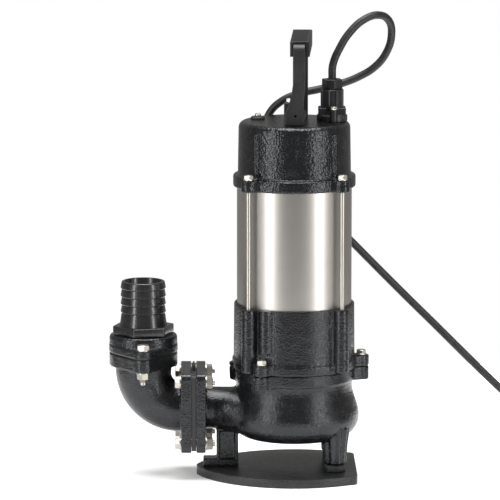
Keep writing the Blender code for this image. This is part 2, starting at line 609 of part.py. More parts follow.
# ---- rotating parts -----------------------------------------------------------------------------
def make_rotor():
    shaft = [(0, SHAFT_TOP), (0.0073, SHAFT_TOP), (0.0073, 0.3180), (0.0100, 0.3180), (0.0100, 0.1965),
             (0.0085, 0.1965), (0.0085, 0.1800), (0.0075, 0.1800), (0.0075, 0.1065), (0.0060, 0.1065),
             (0.0060, SHAFT_BOTTOM), (0, SHAFT_BOTTOM)]
    smooth(turned("motor_shaft", shaft, STEEL, 20))
    core = [(0.0314, 0.3040), (0.0314, 0.2260), (0.0103, 0.2260), (0.0103, 0.3040)]
    smooth(turned("rotor_core", core, CORE, 24, ring=True))

    impeller = turned("impeller", [(0, 0.1062), (0.0120, 0.1062), (0.0125, 0.1025), (0.0440, 0.1010),
                                   (0.0440, 0.0975), (0.0130, 0.0965), (0.0115, 0.0782), (0, 0.0782)], CAST, 24)
    blades = 6
    for i in range(blades):
        start = 360 / blades * i
        inner = [on_circle(0.0085 + 0.0345 * t / 6, start - 48 * (t / 6) ** 1.3) for t in range(7)]
        outer = [on_circle(0.0085 + 0.0345 * t / 6, start + 13 - 7 * t / 6 - 48 * (t / 6) ** 1.3)
                 for t in range(7)]
        outline = [(p.x, p.y) for p in inner + list(reversed(outer))]
        join(impeller, flat("blade_%d" % i, outline, 0.0800, 0.0985, CAST))
    cut(impeller, rod("impeller_bore", 0.0063, (0, 0, 0.070), (0, 0, 0.110), CAST, 20))
    smooth(impeller)
    nut = nut_mesh("impeller_nut", 0.019, 0.0060, 0.0063, 0.0108)
    add_object("impeller_nut", nut, FASTENER, (0, 0, 0.0779), TURN_DOWN)

    bearings = {"lower": (0.1815, 0.0088, 0.0197), "upper": (0.3237, 0.0076, 0.0172)}
    for name, (low, bore, rim) in bearings.items():
        high = low + 0.0108
        wall = (rim - bore) * 0.28
        inner_race = [(bore + wall, high), (bore + wall, low), (bore, low), (bore, high)]
        outer_race = [(rim, high), (rim, low), (rim - wall, low), (rim - wall, high)]
        smooth(turned(name + "_bearing_inner", inner_race, STEEL, 18, ring=True))
        smooth(turned(name + "_bearing_outer", outer_race, STEEL, 18, ring=True))
    rotary = [(0.0130, 0.1480), (0.0130, 0.1283), (0.0078, 0.1283), (0.0078, 0.1480)]
    smooth(turned("seal_rotating_ring", rotary, STEEL, 18, ring=True))
    seat = [(0.0150, 0.1280), (0.0150, 0.1223), (0.0085, 0.1223), (0.0085, 0.1280)]
    smooth(turned("seal_seat", seat, CERAMIC, 18, ring=True))


# ---- motor --------------------------------------------------------------------------------------
def make_motor():
    tube = [(TUBE_R, TUBE_TOP), (TUBE_R, TUBE_BOTTOM), (TUBE_R - TUBE_WALL, TUBE_BOTTOM),
            (TUBE_R - TUBE_WALL, TUBE_TOP)]
    smooth(turned("motor_tube", tube, STEEL, ring=True))
    core = [(0.0641, 0.3050), (0.0641, 0.2250), (0.0320, 0.2250), (0.0320, 0.3050)]
    smooth(turned("stator_core", core, CORE, ring=True))
    for name, low, high in (("lower", 0.2050, 0.2247), ("upper", 0.3053, 0.3200)):
        winding = [(0.0560, high), (0.0600, high - 0.004), (0.0600, low + 0.004), (0.0560, low),
                   (0.0390, low), (0.0360, low + 0.004), (0.0360, high - 0.004), (0.0390, high)]
        smooth(turned(name + "_winding", winding, COPPER, 20, ring=True))
    bracket = [(0.0641, 0.3456), (0.0641, 0.3395), (0.0600, 0.3395), (0.0600, 0.3360), (0.0225, 0.3350),
               (0.0225, 0.3234), (0.0175, 0.3234), (0.0175, 0.3350), (0.0090, 0.3350), (0.0090, 0.3420),
               (0.0600, 0.3420), (0.0600, 0.3456)]
    smooth(turned("bearing_bracket", bracket, CAST, ring=True))

    shoulder = arc((0.0573, CAP_TOP - 0.0072), 0.0072, 90, 0, 5)
    outer = [(0, CAP_TOP), *shoulder, (CAP_R + 0.0004, CAP_RIM_TOP + 0.0012), (0.0698, CAP_RIM_TOP),
             (0.0708, CAP_RIM_TOP - 0.0012), (0.0708, CAP_BOTTOM + 0.0012), (0.0698, CAP_BOTTOM),
             (0, CAP_BOTTOM)]
    cap = turned("motor_cap", outer, CAST)
    for angle in ROD_ANGLES:
        join(cap, lug("cap_lug_%d" % angle, angle, ROD_CIRCLE, 0.0084, CAP_BOTTOM + 0.0001,
                      CAP_RIM_TOP - 0.0001, root=LUG_ROOT))
        rib = block("cap_rib_%d" % angle, (0.060, -0.0027, CAP_RIM_TOP - 0.002), (0.0672, 0.0027, 0.4040),
                    CAST)
        rib.rotation_euler = (0, 0, math.radians(angle))
        join(cap, rib)
    inside = [(0, 0.4085), (0.0530, 0.4085), (0.0590, 0.4030), (0.0590, TUBE_TOP + GAP),
              (TUBE_R + GAP, TUBE_TOP + GAP), (TUBE_R + GAP, 0.3300), (0, 0.3300)]
    cut(cap, turned("cap_space", inside, CAST))
    for angle in ROD_ANGLES:
        cut(cap, bore("cap_rod_hole", BOLT_HOLE, on_circle(ROD_CIRCLE, angle, 0.330),
                     on_circle(ROD_CIRCLE, angle, 0.360)))
    smooth(cap)
    capacitor = rod("run_capacitor", 0.0170, (-0.026, 0, 0.3465), (-0.026, 0, 0.3950), CORE, 24)
    smooth(capacitor)

    tie_rod = bolt_mesh("tie_rod", 0.010, 0.0045, ROD_R, 0.1730, 0.0062)
    names = ("rear_right", "rear_left", "front_left", "front_right")
    for name, angle in zip(names, ROD_ANGLES):
        add_object("tie_rod_" + name, tie_rod, FASTENER, on_circle(ROD_CIRCLE, angle, CAP_RIM_TOP + GAP))


# ---- fittings on the cap ------------------------------------------------------------------------
def make_handle():
    seat = CAP_TOP + GAP
    left = -0.0135
    right = 0.0065
    front_leg = [(left - 0.0025, seat), (0.0055, seat), (0.0052, 0.4400), (0.0068, 0.4560), (0.0070, 0.5000),
                 (-0.0070, 0.5000), (-0.0070, 0.4620), (-0.0085, 0.4520), (left + 0.0015, 0.4380),
                 (left - 0.0025, 0.4280)]
    handle = flat("handle", front_leg, -0.0470, -0.0370, PLASTIC, "Y")
    arch_outer = [(0.0450, seat), (0.0450, HANDLE_TOP - 0.009),
                  *arc((0.0360, HANDLE_TOP - 0.009), 0.009, 0, 90, 4),
                  *arc((-0.0380, HANDLE_TOP - 0.009), 0.009, 90, 180, 4), (-0.0470, 0.4700)]
    arch_inner = [(-0.0370, 0.4700), (-0.0370, HANDLE_TOP - 0.0145), (-0.0320, HANDLE_TOP - 0.0100),
                  (0.0300, HANDLE_TOP - 0.0100), (0.0350, HANDLE_TOP - 0.0145), (0.0350, seat)]
    join(handle, flat("handle_arch", arch_outer + arch_inner, -0.0069, 0.0069, PLASTIC, "X"))
    join(handle, block("handle_base", (-0.0130, -0.0400, seat), (right - 0.0010, 0.0480, seat + 0.0060),
                       PLASTIC),
         block("handle_boss", (-0.0190, -0.0060, seat), (-0.0075, 0.0090, 0.4360), PLASTIC))
    cut(handle, rod("handle_dimple", 0.0016, (-0.0040, -0.0500, 0.4260), (-0.0040, -0.0430, 0.4260),
                    PLASTIC, 12),
        bore("handle_bolt_hole", 0.0024, (-0.0125, 0.0015, 0.4200), (-0.0125, 0.0015, 0.4400)))
    grip_outline = [(-0.0106, 0.4935), (-0.0073, 0.4935), (-0.0073, HANDLE_TOP + GAP),
                    (0.0073, HANDLE_TOP + GAP), (0.0073, 0.4935), (0.0120, 0.4935), (0.0120, 0.5105),
                    (0.0110, 0.5115), (-0.0096, 0.5115), (-0.0106, 0.5105)]
    grip = flat("handle_grip", grip_outline, -0.0400, 0.0380, PLASTIC, "Y")
    for body in (handle, grip):
        body.location = (HANDLE_X, 0, 0)
        body.rotation_euler = (0, 0, HANDLE_TURN)
    for tool in ("handle_arch", "handle_base", "handle_boss", "handle_dimple", "handle_bolt_hole"):
        bpy.data.objects[tool].location = (HANDLE_X, 0, 0)
        bpy.data.objects[tool].rotation_euler = (0, 0, HANDLE_TURN)
    bolt = bolt_mesh("handle_bolt", 0.008, 0.0035, 0.0021, 0.0120, 0.0048, 0.0008)
    place = Matrix.Rotation(HANDLE_TURN, 4, "Z") @ Vector((-0.0125, 0.0015, 0.4360 + GAP))
    add_object("handle_bolt", bolt, FASTENER, (place.x + HANDLE_X, place.y, place.z))


def make_gland():
    seat = CAP_TOP + GAP
    body = turned("cable_gland", [(0, 0.4520), (0.0122, 0.4520), (0.0128, 0.4500), (0.0128, 0.4225),
                                  (0.0177, 0.4215), (0.0177, seat), (0, seat)], PLASTIC, ROUND,
                  at=(GLAND_X, 0, 0))
    join(body, block("gland_step", (GLAND_X - 0.0158, -0.0120, 0.4180), (GLAND_X + 0.0158, 0.0120, 0.4308),
                     PLASTIC, 0.0012))
    for i in range(8):
        foot = on_circle(0.0118, 22.5 + 45 * i) + Vector((GLAND_X, 0, 0.4290))
        join(body, rod("gland_rib_%d" % i, 0.0023, foot, foot + Vector((0, 0, 0.0225)), PLASTIC, 8))
    for side, y in (("front", -0.0170), ("rear", 0.0170)):
        join(body, rod("gland_ear_" + side, 0.0039, (GLAND_X + 0.0015, y, seat),
                       (GLAND_X + 0.0015, y, 0.4295),
                       PLASTIC, SMALL))
        cut(body, rod("gland_ear_hole_" + side, 0.0018, (GLAND_X + 0.0015, y, 0.4180),
                      (GLAND_X + 0.0015, y, 0.4350), PLASTIC, 10))
    smooth(body)
    nut = rod("gland_nut", 0.0124, (GLAND_X, 0, 0.4523), (GLAND_X, 0, GLAND_TOP), PLASTIC, 6,
              spin=math.radians(12))
    bevel = nut.modifiers.new("Bevel", "BEVEL")
    bevel.width = 0.0007
    bevel.segments = 1
    bevel.limit_method = "ANGLE"
    screw = bolt_mesh("gland_screw", 0.0070, 0.0026, 0.0015, 0.0100, 0.0041, 0.0008)
    for side, y in (("front", -0.0170), ("rear", 0.0170)):
        add_object("gland_screw_" + side, screw, FASTENER, (GLAND_X + 0.0015, y, 0.4295 + GAP))
    plug = [(0, 0.4205), (0.0020, 0.4205), (0.0026, 0.4198), (0.0026, 0.4182), (0.0074, 0.4176),
            (0.0084, 0.4168), (0.0084, seat), (0, seat)]
    smooth(turned("test_plug", plug, RUBBER, 14, at=(-0.042, 0.016, 0)))


# ---- supply cord --------------------------------------------------------------------------------
CORD_ROUTE = [
    (0.0433, 0.0000, 0.4640), (0.0440, 0.0006, 0.4790), (0.0520, 0.0032, 0.4985), (0.0650, 0.0085, 0.5175),
    (0.0810, 0.0155, 0.5305), (0.0975, 0.0260, 0.5342), (0.1098, 0.0390, 0.5265), (0.1137, 0.0515, 0.5080),
    (0.1082, 0.0620, 0.4862), (0.0955, 0.0685, 0.4690), (0.0760, 0.0708, 0.4566), (0.0530, 0.0700, 0.4480),
    (0.0290, 0.0665, 0.4425), (0.0060, 0.0635, 0.4378), (-0.0140, 0.0635, 0.4290), (-0.0277, 0.0675, 0.4145),
    (-0.0325, 0.0740, 0.3960), (-0.0300, 0.0800, 0.3770), (-0.0210, 0.0845, 0.3580), (-0.0050, 0.0880, 0.3370),
    (0.0170, 0.0900, 0.3120), (0.0430, 0.0920, 0.2855), (0.0720, 0.0945, 0.2560), (0.1030, 0.0975, 0.2240),
    (0.1350, 0.0990, 0.1915), (0.1690, 0.0975, 0.1580), (0.2020, 0.0930, 0.1255), (0.2320, 0.0875, 0.0965),
    (0.2570, 0.0825, 0.0735), (0.2770, 0.0785, 0.0565), (0.2950, 0.0760, 0.0440), (0.3125, 0.0752, 0.0375),
]
TAIL_ROUTE = [(TAIL_X, 0.0300, 0.0050), (TAIL_X, 0.0480, 0.0058), (TAIL_X, 0.0640, 0.0100),
              (TAIL_X, 0.0770, 0.0124), (TAIL_X, PLUG_Y - GAP, 0.0125)]


def make_cord():
    smooth(tube_along("power_cord", smooth_line(CORD_ROUTE, 0.020), CORD_R, CORD_RUBBER, 2))
    chamfer = 0.004
    ring = [(COIL_OUTER - chamfer, COIL_HEIGHT), (COIL_OUTER, COIL_HEIGHT - chamfer), (COIL_OUTER, chamfer),
            (COIL_OUTER - chamfer, 0.0002), (COIL_INNER + chamfer, 0.0002), (COIL_INNER, chamfer),
            (COIL_INNER, COIL_HEIGHT - chamfer), (COIL_INNER + chamfer, COIL_HEIGHT)]
    coil = turned("cord_coil", ring, CORD_RUBBER, 28, ring=True, at=(*COIL_CENTRE, 0))
    join(coil, tube_along("cord_tail", smooth_line(TAIL_ROUTE, 0.012), CORD_R, CORD_RUBBER, 2))
    lead = [(0.3131, 0.0752, 0.0373), (0.3310, 0.0752, 0.0330), (COIL_CENTRE[0], 0.0752, 0.0322)]
    join(coil, tube_along("cord_lead", lead, CORD_R, CORD_RUBBER, 2))
    smooth(coil)
    plug = rod("cord_plug", 0.0054, (TAIL_X, PLUG_Y, 0.0125), (TAIL_X, PLUG_Y + 0.030, 0.0125), PLASTIC, 12,
               end_radius=0.0085)
    join(plug, block("plug_body", (TAIL_X - 0.0120, PLUG_Y + 0.0280, 0.0010),
                     (TAIL_X + 0.0120, PLUG_Y + 0.0580, 0.0240), PLASTIC, 0.003))
    for side in (-1, 1):
        x = TAIL_X + side * 0.0064
        join(plug, block("plug_blade_%d" % side, (x - 0.0008, PLUG_Y + 0.0570, 0.0094),
                         (x + 0.0008, PLUG_Y + 0.0750, 0.0156), BRASS))


make_stand()
make_casing()
make_valve()
make_elbow()
make_barb()
make_flange_bolts()
make_housing()
make_rotor()
make_motor()
make_handle()
make_gland()
make_cord()
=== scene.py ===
"""Looks of the submersible sump pump: fine castings, fasteners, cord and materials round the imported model.

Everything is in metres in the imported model's frame: the origin is on the shaft axis under the foot
plate, +Z is up, +X points away from the discharge and -Y towards the front.
"""
import math

import bmesh
import bpy
from mathutils import Matrix, Vector


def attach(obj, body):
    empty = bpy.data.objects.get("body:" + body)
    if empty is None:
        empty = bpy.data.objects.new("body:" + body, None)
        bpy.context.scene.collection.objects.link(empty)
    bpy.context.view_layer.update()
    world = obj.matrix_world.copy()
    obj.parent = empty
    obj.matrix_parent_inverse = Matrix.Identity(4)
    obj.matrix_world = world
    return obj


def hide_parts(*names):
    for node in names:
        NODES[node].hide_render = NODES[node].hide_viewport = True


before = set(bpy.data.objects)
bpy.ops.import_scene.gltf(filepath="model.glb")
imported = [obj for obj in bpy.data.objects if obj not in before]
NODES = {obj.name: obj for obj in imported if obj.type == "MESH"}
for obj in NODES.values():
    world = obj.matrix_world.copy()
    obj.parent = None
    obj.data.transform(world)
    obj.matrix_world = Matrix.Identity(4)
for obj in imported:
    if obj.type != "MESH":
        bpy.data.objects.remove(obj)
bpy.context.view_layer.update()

# ---- driving dimensions -------------------------------------------------------------------------
GAP = 0.0003                 # clearance between touching pieces

PLATE_ARC = 0.119            # the base plate is the overlap of two discs of this radius
PLATE_OFFSET = 0.0315        # distance of each disc's centre from the shaft axis
PLATE_LEFT = -0.1135
PLATE_RIGHT = 0.072
PLATE_TOP = 0.010

CASING_BOTTOM = 0.045
CASING_TOP = 0.1275
CASING_R = 0.0702
CHAMBER_R = 0.066
COVER_R = 0.060              # bore that holds the seal cover
INLET_R = 0.030

OUTLET_Z = 0.079             # height of the discharge axis
OUTLET_R = 0.021             # valve seat bore in the casing
ELBOW_BORE = 0.0263
ELBOW_R = 0.033
ELBOW_TAPER = 0.87           # radius at the square flange, as a share of ELBOW_R
NECK_R = 0.0245              # casing neck behind its flange
FLANGE_HALF = 0.0465
FLANGE_BOLT = 0.036          # half the bolt spacing of the square flanges
CASING_FLANGE = (-0.1139, -0.1031)
ELBOW_FLANGE = (-0.1315, -0.1197)
RAISED_R = 0.036
VALVE_SHEET = (-0.1181, -0.1155)

BEND_R = 0.0436
RISER_X = ELBOW_FLANGE[0] - BEND_R
OVAL_R = 0.0394
OVAL_BOLT_Y = 0.0485
OVAL_END_R = 0.0115
ELBOW_TOP = (0.1293, 0.1449)
COMPANION = (0.1457, 0.1540)
COMPANION_HUB_TOP = 0.1660
BARB_TOP = 0.2280
BARB_R = 0.0262
BARB_BORE = 0.0212

HOUSING_BOTTOM = 0.1278
HOUSING_TOP = 0.2030
TUBE_R = 0.0664
TUBE_WALL = 0.0020
TUBE_BOTTOM = 0.1973
TUBE_TOP = 0.3457
CAP_BOTTOM = 0.3394
CAP_RIM_TOP = 0.3530
CAP_TOP = 0.4148
CAP_R = 0.0650

ROD_CIRCLE = 0.0760          # radius of the tie rod circle
ROD_R = 0.0030
LUG_BOLT_CIRCLE = 0.0780
LUG_ROOT = 0.0125            # half width of a lug where it leaves the casting
ROD_ANGLES = (45, 135, 225, 315)
LUG_ANGLES = (0, 120, 240)
BOLT_HOLE = 0.0033
FLANGE_HOLE = 0.0046
LUG_TOP = 0.1405             # seat of the casing bolts
OIL_PLUG_Z = 0.168
LEG_X = 0.0465
LEGS = (("front", -0.038), ("rear", 0.038))

HANDLE_TOP = 0.5085
HANDLE_TURN = math.radians(-3.7)
HANDLE_X = 0.0070
CROWN = 0.0048               # rise of the handle towards its rear

GLAND_X = 0.0433
GLAND_TOP = 0.4633
EAR_X = GLAND_X + 0.0015     # the gland's two screw ears
EAR_TOP = 0.4295
EARS = (("front", -0.0170), ("rear", 0.0170))
TEST_PLUG = (-0.042, 0.016, 0)

CORD_R = 0.0045
COIL_CENTRE = (0.350, 0.005)
COIL_INNER = 0.0315
COIL_OUTER = 0.0747
COIL_HEIGHT = 0.0373
TAIL_X = 0.2798
PLUG_Y = 0.090

FINE = 120                   # sides of the large round castings
ROUND = 64                   # sides of the medium round pieces
SMALL = 24                   # sides of fasteners
VOXEL = 0.0009               # grain of the cast shapes

# ---- camera, floor and light --------------------------------------------------------------------
CAMERA_DISTANCE = 5.2
CAMERA_HEIGHT = 1.118
CAMERA_AROUND = math.radians(-1.3)
CAMERA_DOWN = math.radians(9.33)
CAMERA_ASIDE = math.radians(0.565)
CAMERA_LENS = 327.5
FLOOR_HALF = 0.68            # the floor is a table this far to each side, so the pump reflects its edge
SURROUNDINGS = 0.27          # brightness of the studio that the pump reflects
LIGHT_AIM = Vector((-0.02, 0.0, 0.22))
STRIP_SIZE = (0.32, 2.2)
STRIP_POWER = 22


def make_camera():
    data = bpy.data.cameras.new("camera")
    data.lens = CAMERA_LENS
    data.sensor_width = 36.0
    data.clip_end = 60.0
    camera = bpy.data.objects.new("camera", data)
    camera.location = (CAMERA_DISTANCE * math.sin(CAMERA_AROUND), -CAMERA_DISTANCE * math.cos(CAMERA_AROUND),
                       CAMERA_HEIGHT)
    camera.rotation_euler = (math.radians(90) - CAMERA_DOWN, 0, CAMERA_AROUND + CAMERA_ASIDE)
    bpy.context.scene.collection.objects.link(camera)
    bpy.context.scene.camera = camera


def add_strip(name, place):
    """A tall soft light turned towards the middle of the pump."""
    data = bpy.data.lights.new(name, "AREA")
    data.shape = "RECTANGLE"
    data.size, data.size_y = STRIP_SIZE
    data.energy = STRIP_POWER
    light = bpy.data.objects.new(name, data)
    light.location = place
    light.rotation_euler = (LIGHT_AIM - Vector(place)).to_track_quat("-Z", "Y").to_euler()
    bpy.context.scene.collection.objects.link(light)


def make_studio():
    bm = bmesh.new()
    bmesh.ops.create_grid(bm, x_segments=2, y_segments=2, size=FLOOR_HALF)
    mesh = bpy.data.meshes.new("floor")
    bm.to_mesh(mesh)
    bm.free()
    floor = bpy.data.objects.new("floor", mesh)
    bpy.context.scene.collection.objects.link(floor)
    paper = Paint("pale_floor", (0.93, 0.93, 0.93), 0.9,
                  Emission_Color=(1.0, 1.0, 1.0, 1.0), Emission_Strength=0.18)
    mesh.materials.append(paper.material)

    world = bpy.data.worlds.new("studio")
    world.use_nodes = True
    tree = world.node_tree
    dim = tree.nodes["Background"]
    dim.inputs["Color"].default_value = (1.0, 0.985, 0.965, 1.0)
    dim.inputs["Strength"].default_value = SURROUNDINGS
    pale = tree.nodes.new("ShaderNodeBackground")
    pale.inputs["Color"].default_value = (1.0, 1.0, 1.0, 1.0)
    pale.inputs["Strength"].default_value = 1.0
    mix = tree.nodes.new("ShaderNodeMixShader")
    seen = tree.nodes.new("ShaderNodeLightPath")
    tree.links.new(seen.outputs["Is Camera Ray"], mix.inputs[0])
    tree.links.new(dim.outputs[0], mix.inputs[1])
    tree.links.new(pale.outputs[0], mix.inputs[2])
    tree.links.new(mix.outputs[0], tree.nodes["World Output"].inputs["Surface"])
    bpy.context.scene.world = world
    bpy.context.scene.view_settings.view_transform = "Standard"

    sun = bpy.data.lights.new("overhead", "SUN")
    sun.energy = 4.4
    sun.angle = math.radians(50)
    overhead = bpy.data.objects.new("overhead", sun)
    bpy.context.scene.collection.objects.link(overhead)
    add_strip("strip_left", (-1.60, -1.30, 0.40))
    add_strip("strip_right", (1.55, -1.30, 0.40))


# ---- materials ----------------------------------------------------------------------------------
class Paint:
    """A node material with short calls for the texture nodes that it needs."""

    def __init__(self, name, colour, roughness, metallic=0.0, **sockets):
        self.material = bpy.data.materials.new(name)
        self.material.use_nodes = True
        self.tree = self.material.node_tree
        self.shader = self.tree.nodes["Principled BSDF"]
        self.set("Base Color", (*colour, 1.0))
        self.set("Roughness", roughness)
        self.set("Metallic", metallic)
        for socket, value in sockets.items():
            self.set(socket.replace("_", " "), value)
        self.place = self.tree.nodes.new("ShaderNodeTexCoord").outputs["Object"]

    def set(self, socket, value):
        self.shader.inputs[socket].default_value = value

    def link(self, source, target):
        self.tree.links.new(source, target)

    def node(self, kind, **inputs):
        """A new node with its inputs set: an underscore stands for a space in a socket's name."""
        node = self.tree.nodes.new("ShaderNode" + kind)
        for socket, value in inputs.items():
            node.inputs[socket.replace("_", " ")].default_value = value
        return node

    def stretched(self, scale):
        node = self.node("Mapping", Scale=scale)
        self.link(self.place, node.inputs["Vector"])
        return node.outputs["Vector"]

    def noise(self, scale, detail=2.0, rough=0.5, vector=None):
        node = self.node("TexNoise", Scale=scale, Detail=detail, Roughness=rough)
        self.link(vector or self.place, node.inputs["Vector"])
        return node.outputs["Fac"]

    def cells(self, scale, smoothness):
        node = self.tree.nodes.new("ShaderNodeTexVoronoi")
        node.feature = "SMOOTH_F1"
        node.inputs["Scale"].default_value = scale
        node.inputs["Smoothness"].default_value = smoothness
        self.link(self.place, node.inputs["Vector"])
        return node.outputs["Distance"]

    def wave(self, scale, direction, distortion=0.0):
        node = self.node("TexWave", Scale=scale, Distortion=distortion)
        node.bands_direction = direction
        self.link(self.place, node.inputs["Vector"])
        return node.outputs["Fac"]

    def ramp(self, source, low, high, dark, light):
        node = self.node("ValToRGB")
        node.color_ramp.elements[0].position = low
        node.color_ramp.elements[1].position = high
        node.color_ramp.elements[0].color = (*dark, 1.0)
        node.color_ramp.elements[1].color = (*light, 1.0)
        self.link(source, node.inputs["Fac"])
        return node.outputs["Color"]

    def map(self, source, low, high, to_low, to_high):
        node = self.node("MapRange", From_Min=low, From_Max=high, To_Min=to_low, To_Max=to_high)
        self.link(source, node.inputs["Value"])
        return node.outputs["Result"]

    def sum(self, first, second, share=1.0):
        node = self.node("Math")
        node.operation = "MULTIPLY_ADD"
        node.inputs[1].default_value = share
        self.link(second, node.inputs[0])
        self.link(first, node.inputs[2])
        return node.outputs["Value"]

    def colour_by(self, source, low, high, dark, light):
        self.link(self.ramp(source, low, high, dark, light), self.shader.inputs["Base Color"])

    def rough_by(self, source, low, high, to_low, to_high):
        self.link(self.map(source, low, high, to_low, to_high), self.shader.inputs["Roughness"])

    def bump(self, height, distance):
        node = self.node("Bump", Distance=distance, Strength=1.0)
        self.link(height, node.inputs["Height"])
        self.link(node.outputs["Normal"], self.shader.inputs["Normal"])


def enamel(name, pebble, depth, colour=(0.0065, 0.0067, 0.0072), painted_glint=(0.030, 0.032, 0.036),
           roughness=(0.13, 0.24)):
    """Glossy black enamel over a pebbled casting, with light flecks in its colour that are painted
    highlights: pebble is the lumps' scale, depth their height.
    """
    paint = Paint(name, colour, 0.3, Specular_IOR_Level=0.45, Specular_Tint=(0.95, 0.97, 1.0, 1.0))
    lumps = paint.cells(pebble, 0.6)
    sand = paint.noise(pebble * 1.6, 2.0, 0.6)
    swell = paint.noise(pebble * 0.18, 2.0)
    # The light flecks mixed into the base colour are painted highlights, standing for glints of light on the
    # pebbles.
    paint.colour_by(paint.sum(sand, swell, 0.5), 0.80, 0.98, colour, painted_glint)
    paint.rough_by(sand, 0.3, 0.7, *roughness)
    paint.bump(paint.sum(paint.sum(lumps, sand, 0.55), swell, 1.6), depth)
    return paint.material


def metal(name, colour, roughness, scale=900, stretch=(1, 1, 1), depth=0.00002, **sockets):
    """Bare metal with fine working marks stretched along one way."""
    paint = Paint(name, colour, roughness, 1.0, **sockets)
    marks = paint.noise(scale, 3.0, 0.6, paint.stretched(stretch))
    stain = paint.noise(60, 3.0)
    paint.colour_by(stain, 0.3, 0.75, tuple(c * 0.96 for c in colour), colour)
    paint.rough_by(marks, 0.3, 0.7, roughness * 0.92, roughness * 1.1)
    paint.bump(marks, depth)
    return paint.material


def polymer(name, colour, roughness, scale, depth, **sockets):
    """Moulded plastic or rubber with a fine grain and slightly uneven gloss."""
    paint = Paint(name, colour, roughness, **sockets)
    grain = paint.noise(scale, 2.0, 0.6)
    cloud = paint.noise(45, 3.0)
    paint.colour_by(cloud, 0.3, 0.75, colour, tuple(c * 1.5 for c in colour))
    paint.rough_by(paint.sum(cloud, grain, 0.4), 0.4, 1.0, roughness * 0.85, roughness * 1.2)
    paint.bump(grain, depth)
    return paint.material


def cord_sheath():
    paint = Paint("cord_sheath", (0.018, 0.018, 0.019), 0.44, Specular_IOR_Level=0.45)
    dust = paint.noise(160, 3.0)
    grain = paint.noise(2600, 2.0)
    paint.colour_by(dust, 0.35, 0.75, (0.014, 0.014, 0.015), (0.028, 0.028, 0.029))
    paint.rough_by(dust, 0.3, 0.7, 0.38, 0.55)
    paint.bump(grain, 0.00006)
    return paint.material


def winding_copper():
    paint = Paint("varnished_copper", (0.55, 0.22, 0.08), 0.35, 1.0, Coat_Weight=0.5)
    strands = paint.wave(420, "DIAGONAL", 2.0)
    paint.colour_by(strands, 0.1, 0.9, (0.22, 0.08, 0.03), (0.62, 0.26, 0.10))
    paint.bump(strands, 0.0004)
    return paint.material


def laminations():
    paint = Paint("lamination_stack", (0.28, 0.28, 0.29), 0.45, 1.0)
    layers = paint.wave(310, "Z")
    paint.colour_by(layers, 0.2, 0.9, (0.10, 0.10, 0.11), (0.34, 0.34, 0.35))
    paint.bump(layers, 0.0001)
    return paint.material


# The light flecks in these enamels' base colour are painted highlights. The plate's flecks are the second
# colour given to it.
CASTING = enamel("pebbled_enamel", 560, 0.00030)
CAP_ENAMEL = enamel("cap_enamel", 440, 0.00042)
SMOOTH_ENAMEL = enamel("smooth_enamel", 800, 0.00025, roughness=(0.30, 0.46))
PLATE_PAINT = enamel("plate_paint", 420, 0.00040, (0.014, 0.014, 0.0145), (0.030, 0.030, 0.031), (0.28, 0.42))
TUBE_STEEL = metal("brushed_tube", (0.50, 0.477, 0.447), 0.34, 700, (0.15, 0.15, 6.0), 0.000002,
                   Anisotropic=0.3)
BOLT_STEEL = metal("bolt_steel", (0.52, 0.49, 0.445), 0.36, 1500)
GROUND_STEEL = metal("ground_steel", (0.70, 0.70, 0.70), 0.20, 1500)
BRASS = metal("brass", (0.75, 0.56, 0.26), 0.25, 1500)
BARB_PLASTIC = polymer("barb_plastic", (0.009, 0.009, 0.010), 0.27, 1300, 0.00005, Coat_Weight=0.3)
MOULDED = polymer("moulded_plastic", (0.012, 0.012, 0.013), 0.38, 1500, 0.00010)
HANDLE_PAINT = polymer("handle_paint", (0.015, 0.015, 0.016), 0.40, 1400, 0.00018)
RUBBER = polymer("black_rubber", (0.016, 0.016, 0.016), 0.60, 1800, 0.00010)
CERAMIC = polymer("seal_ceramic", (0.55, 0.53, 0.49), 0.25, 1500, 0.00002)
CORD = cord_sheath()
COPPER = winding_copper()
LAMINATED = laminations()

# ---- pieces that stand for CAD nodes ------------------------------------------------------------
WORK = bpy.data.collections.new("work")
bpy.context.scene.collection.children.link(WORK)


def add_object(name, mesh, at=(0, 0, 0), turn=(0, 0, 0)):
    """Put a mesh in the scene."""
    body = bpy.data.objects.new(name, mesh)
    body.location = at
    body.rotation_euler = turn
    WORK.objects.link(body)
    return body


def evaluated_mesh(body):
    """The mesh of an object with its modifiers applied."""
    bpy.context.view_layer.update()
    graph = bpy.context.evaluated_depsgraph_get()
    return bpy.data.meshes.new_from_object(body.evaluated_get(graph))


def applied(body, material, angle=38):
    """Bake the modifiers and the placement into the mesh, shade it and give it one material."""
    mesh = evaluated_mesh(body)
    mesh.transform(body.matrix_world)
    tools = [step.object for step in body.modifiers if step.type == "BOOLEAN"]
    body.modifiers.clear()
    body.data = mesh
    body.matrix_world = Matrix.Identity(4)
    for tool in tools:
        bpy.data.objects.remove(tool, do_unlink=True)
    mesh.materials.clear()
    mesh.materials.append(material)
    mesh.shade_smooth()
    mesh.set_sharp_from_angle(angle=math.radians(angle))
    return body


def chamfered(body, width):
    step = body.modifiers.new("Bevel", "BEVEL")
    step.width = width
    step.segments = 3
    step.limit_method = "ANGLE"
    step.angle_limit = math.radians(30)
    step.harden_normals = False


def cast(body, voxel, passes):
    """Melt the joins of a casting together, as its mould would leave them."""
    melt = body.modifiers.new("Melt", "REMESH")
    melt.mode = "VOXEL"
    melt.voxel_size = voxel
    soft = body.modifiers.new("Soft", "SMOOTH")
    soft.factor = 0.5
    soft.iterations = passes


def melted(body, centre, reach, passes):
    """Smooth a finished mesh strongly near a point, fading out at reach, as a large fillet would."""
    group = body.vertex_groups.new(name="fillet")
    middle = Vector(centre)
    for vertex in body.data.vertices:
        share = 1.0 - (vertex.co - middle).length / reach
        if share > 0.0:
            group.add([vertex.index], min(1.0, share * 1.6), "REPLACE")
    step = body.modifiers.new("Fillet", "SMOOTH")
    step.factor = 0.5
    step.iterations = passes
    step.vertex_group = group.name


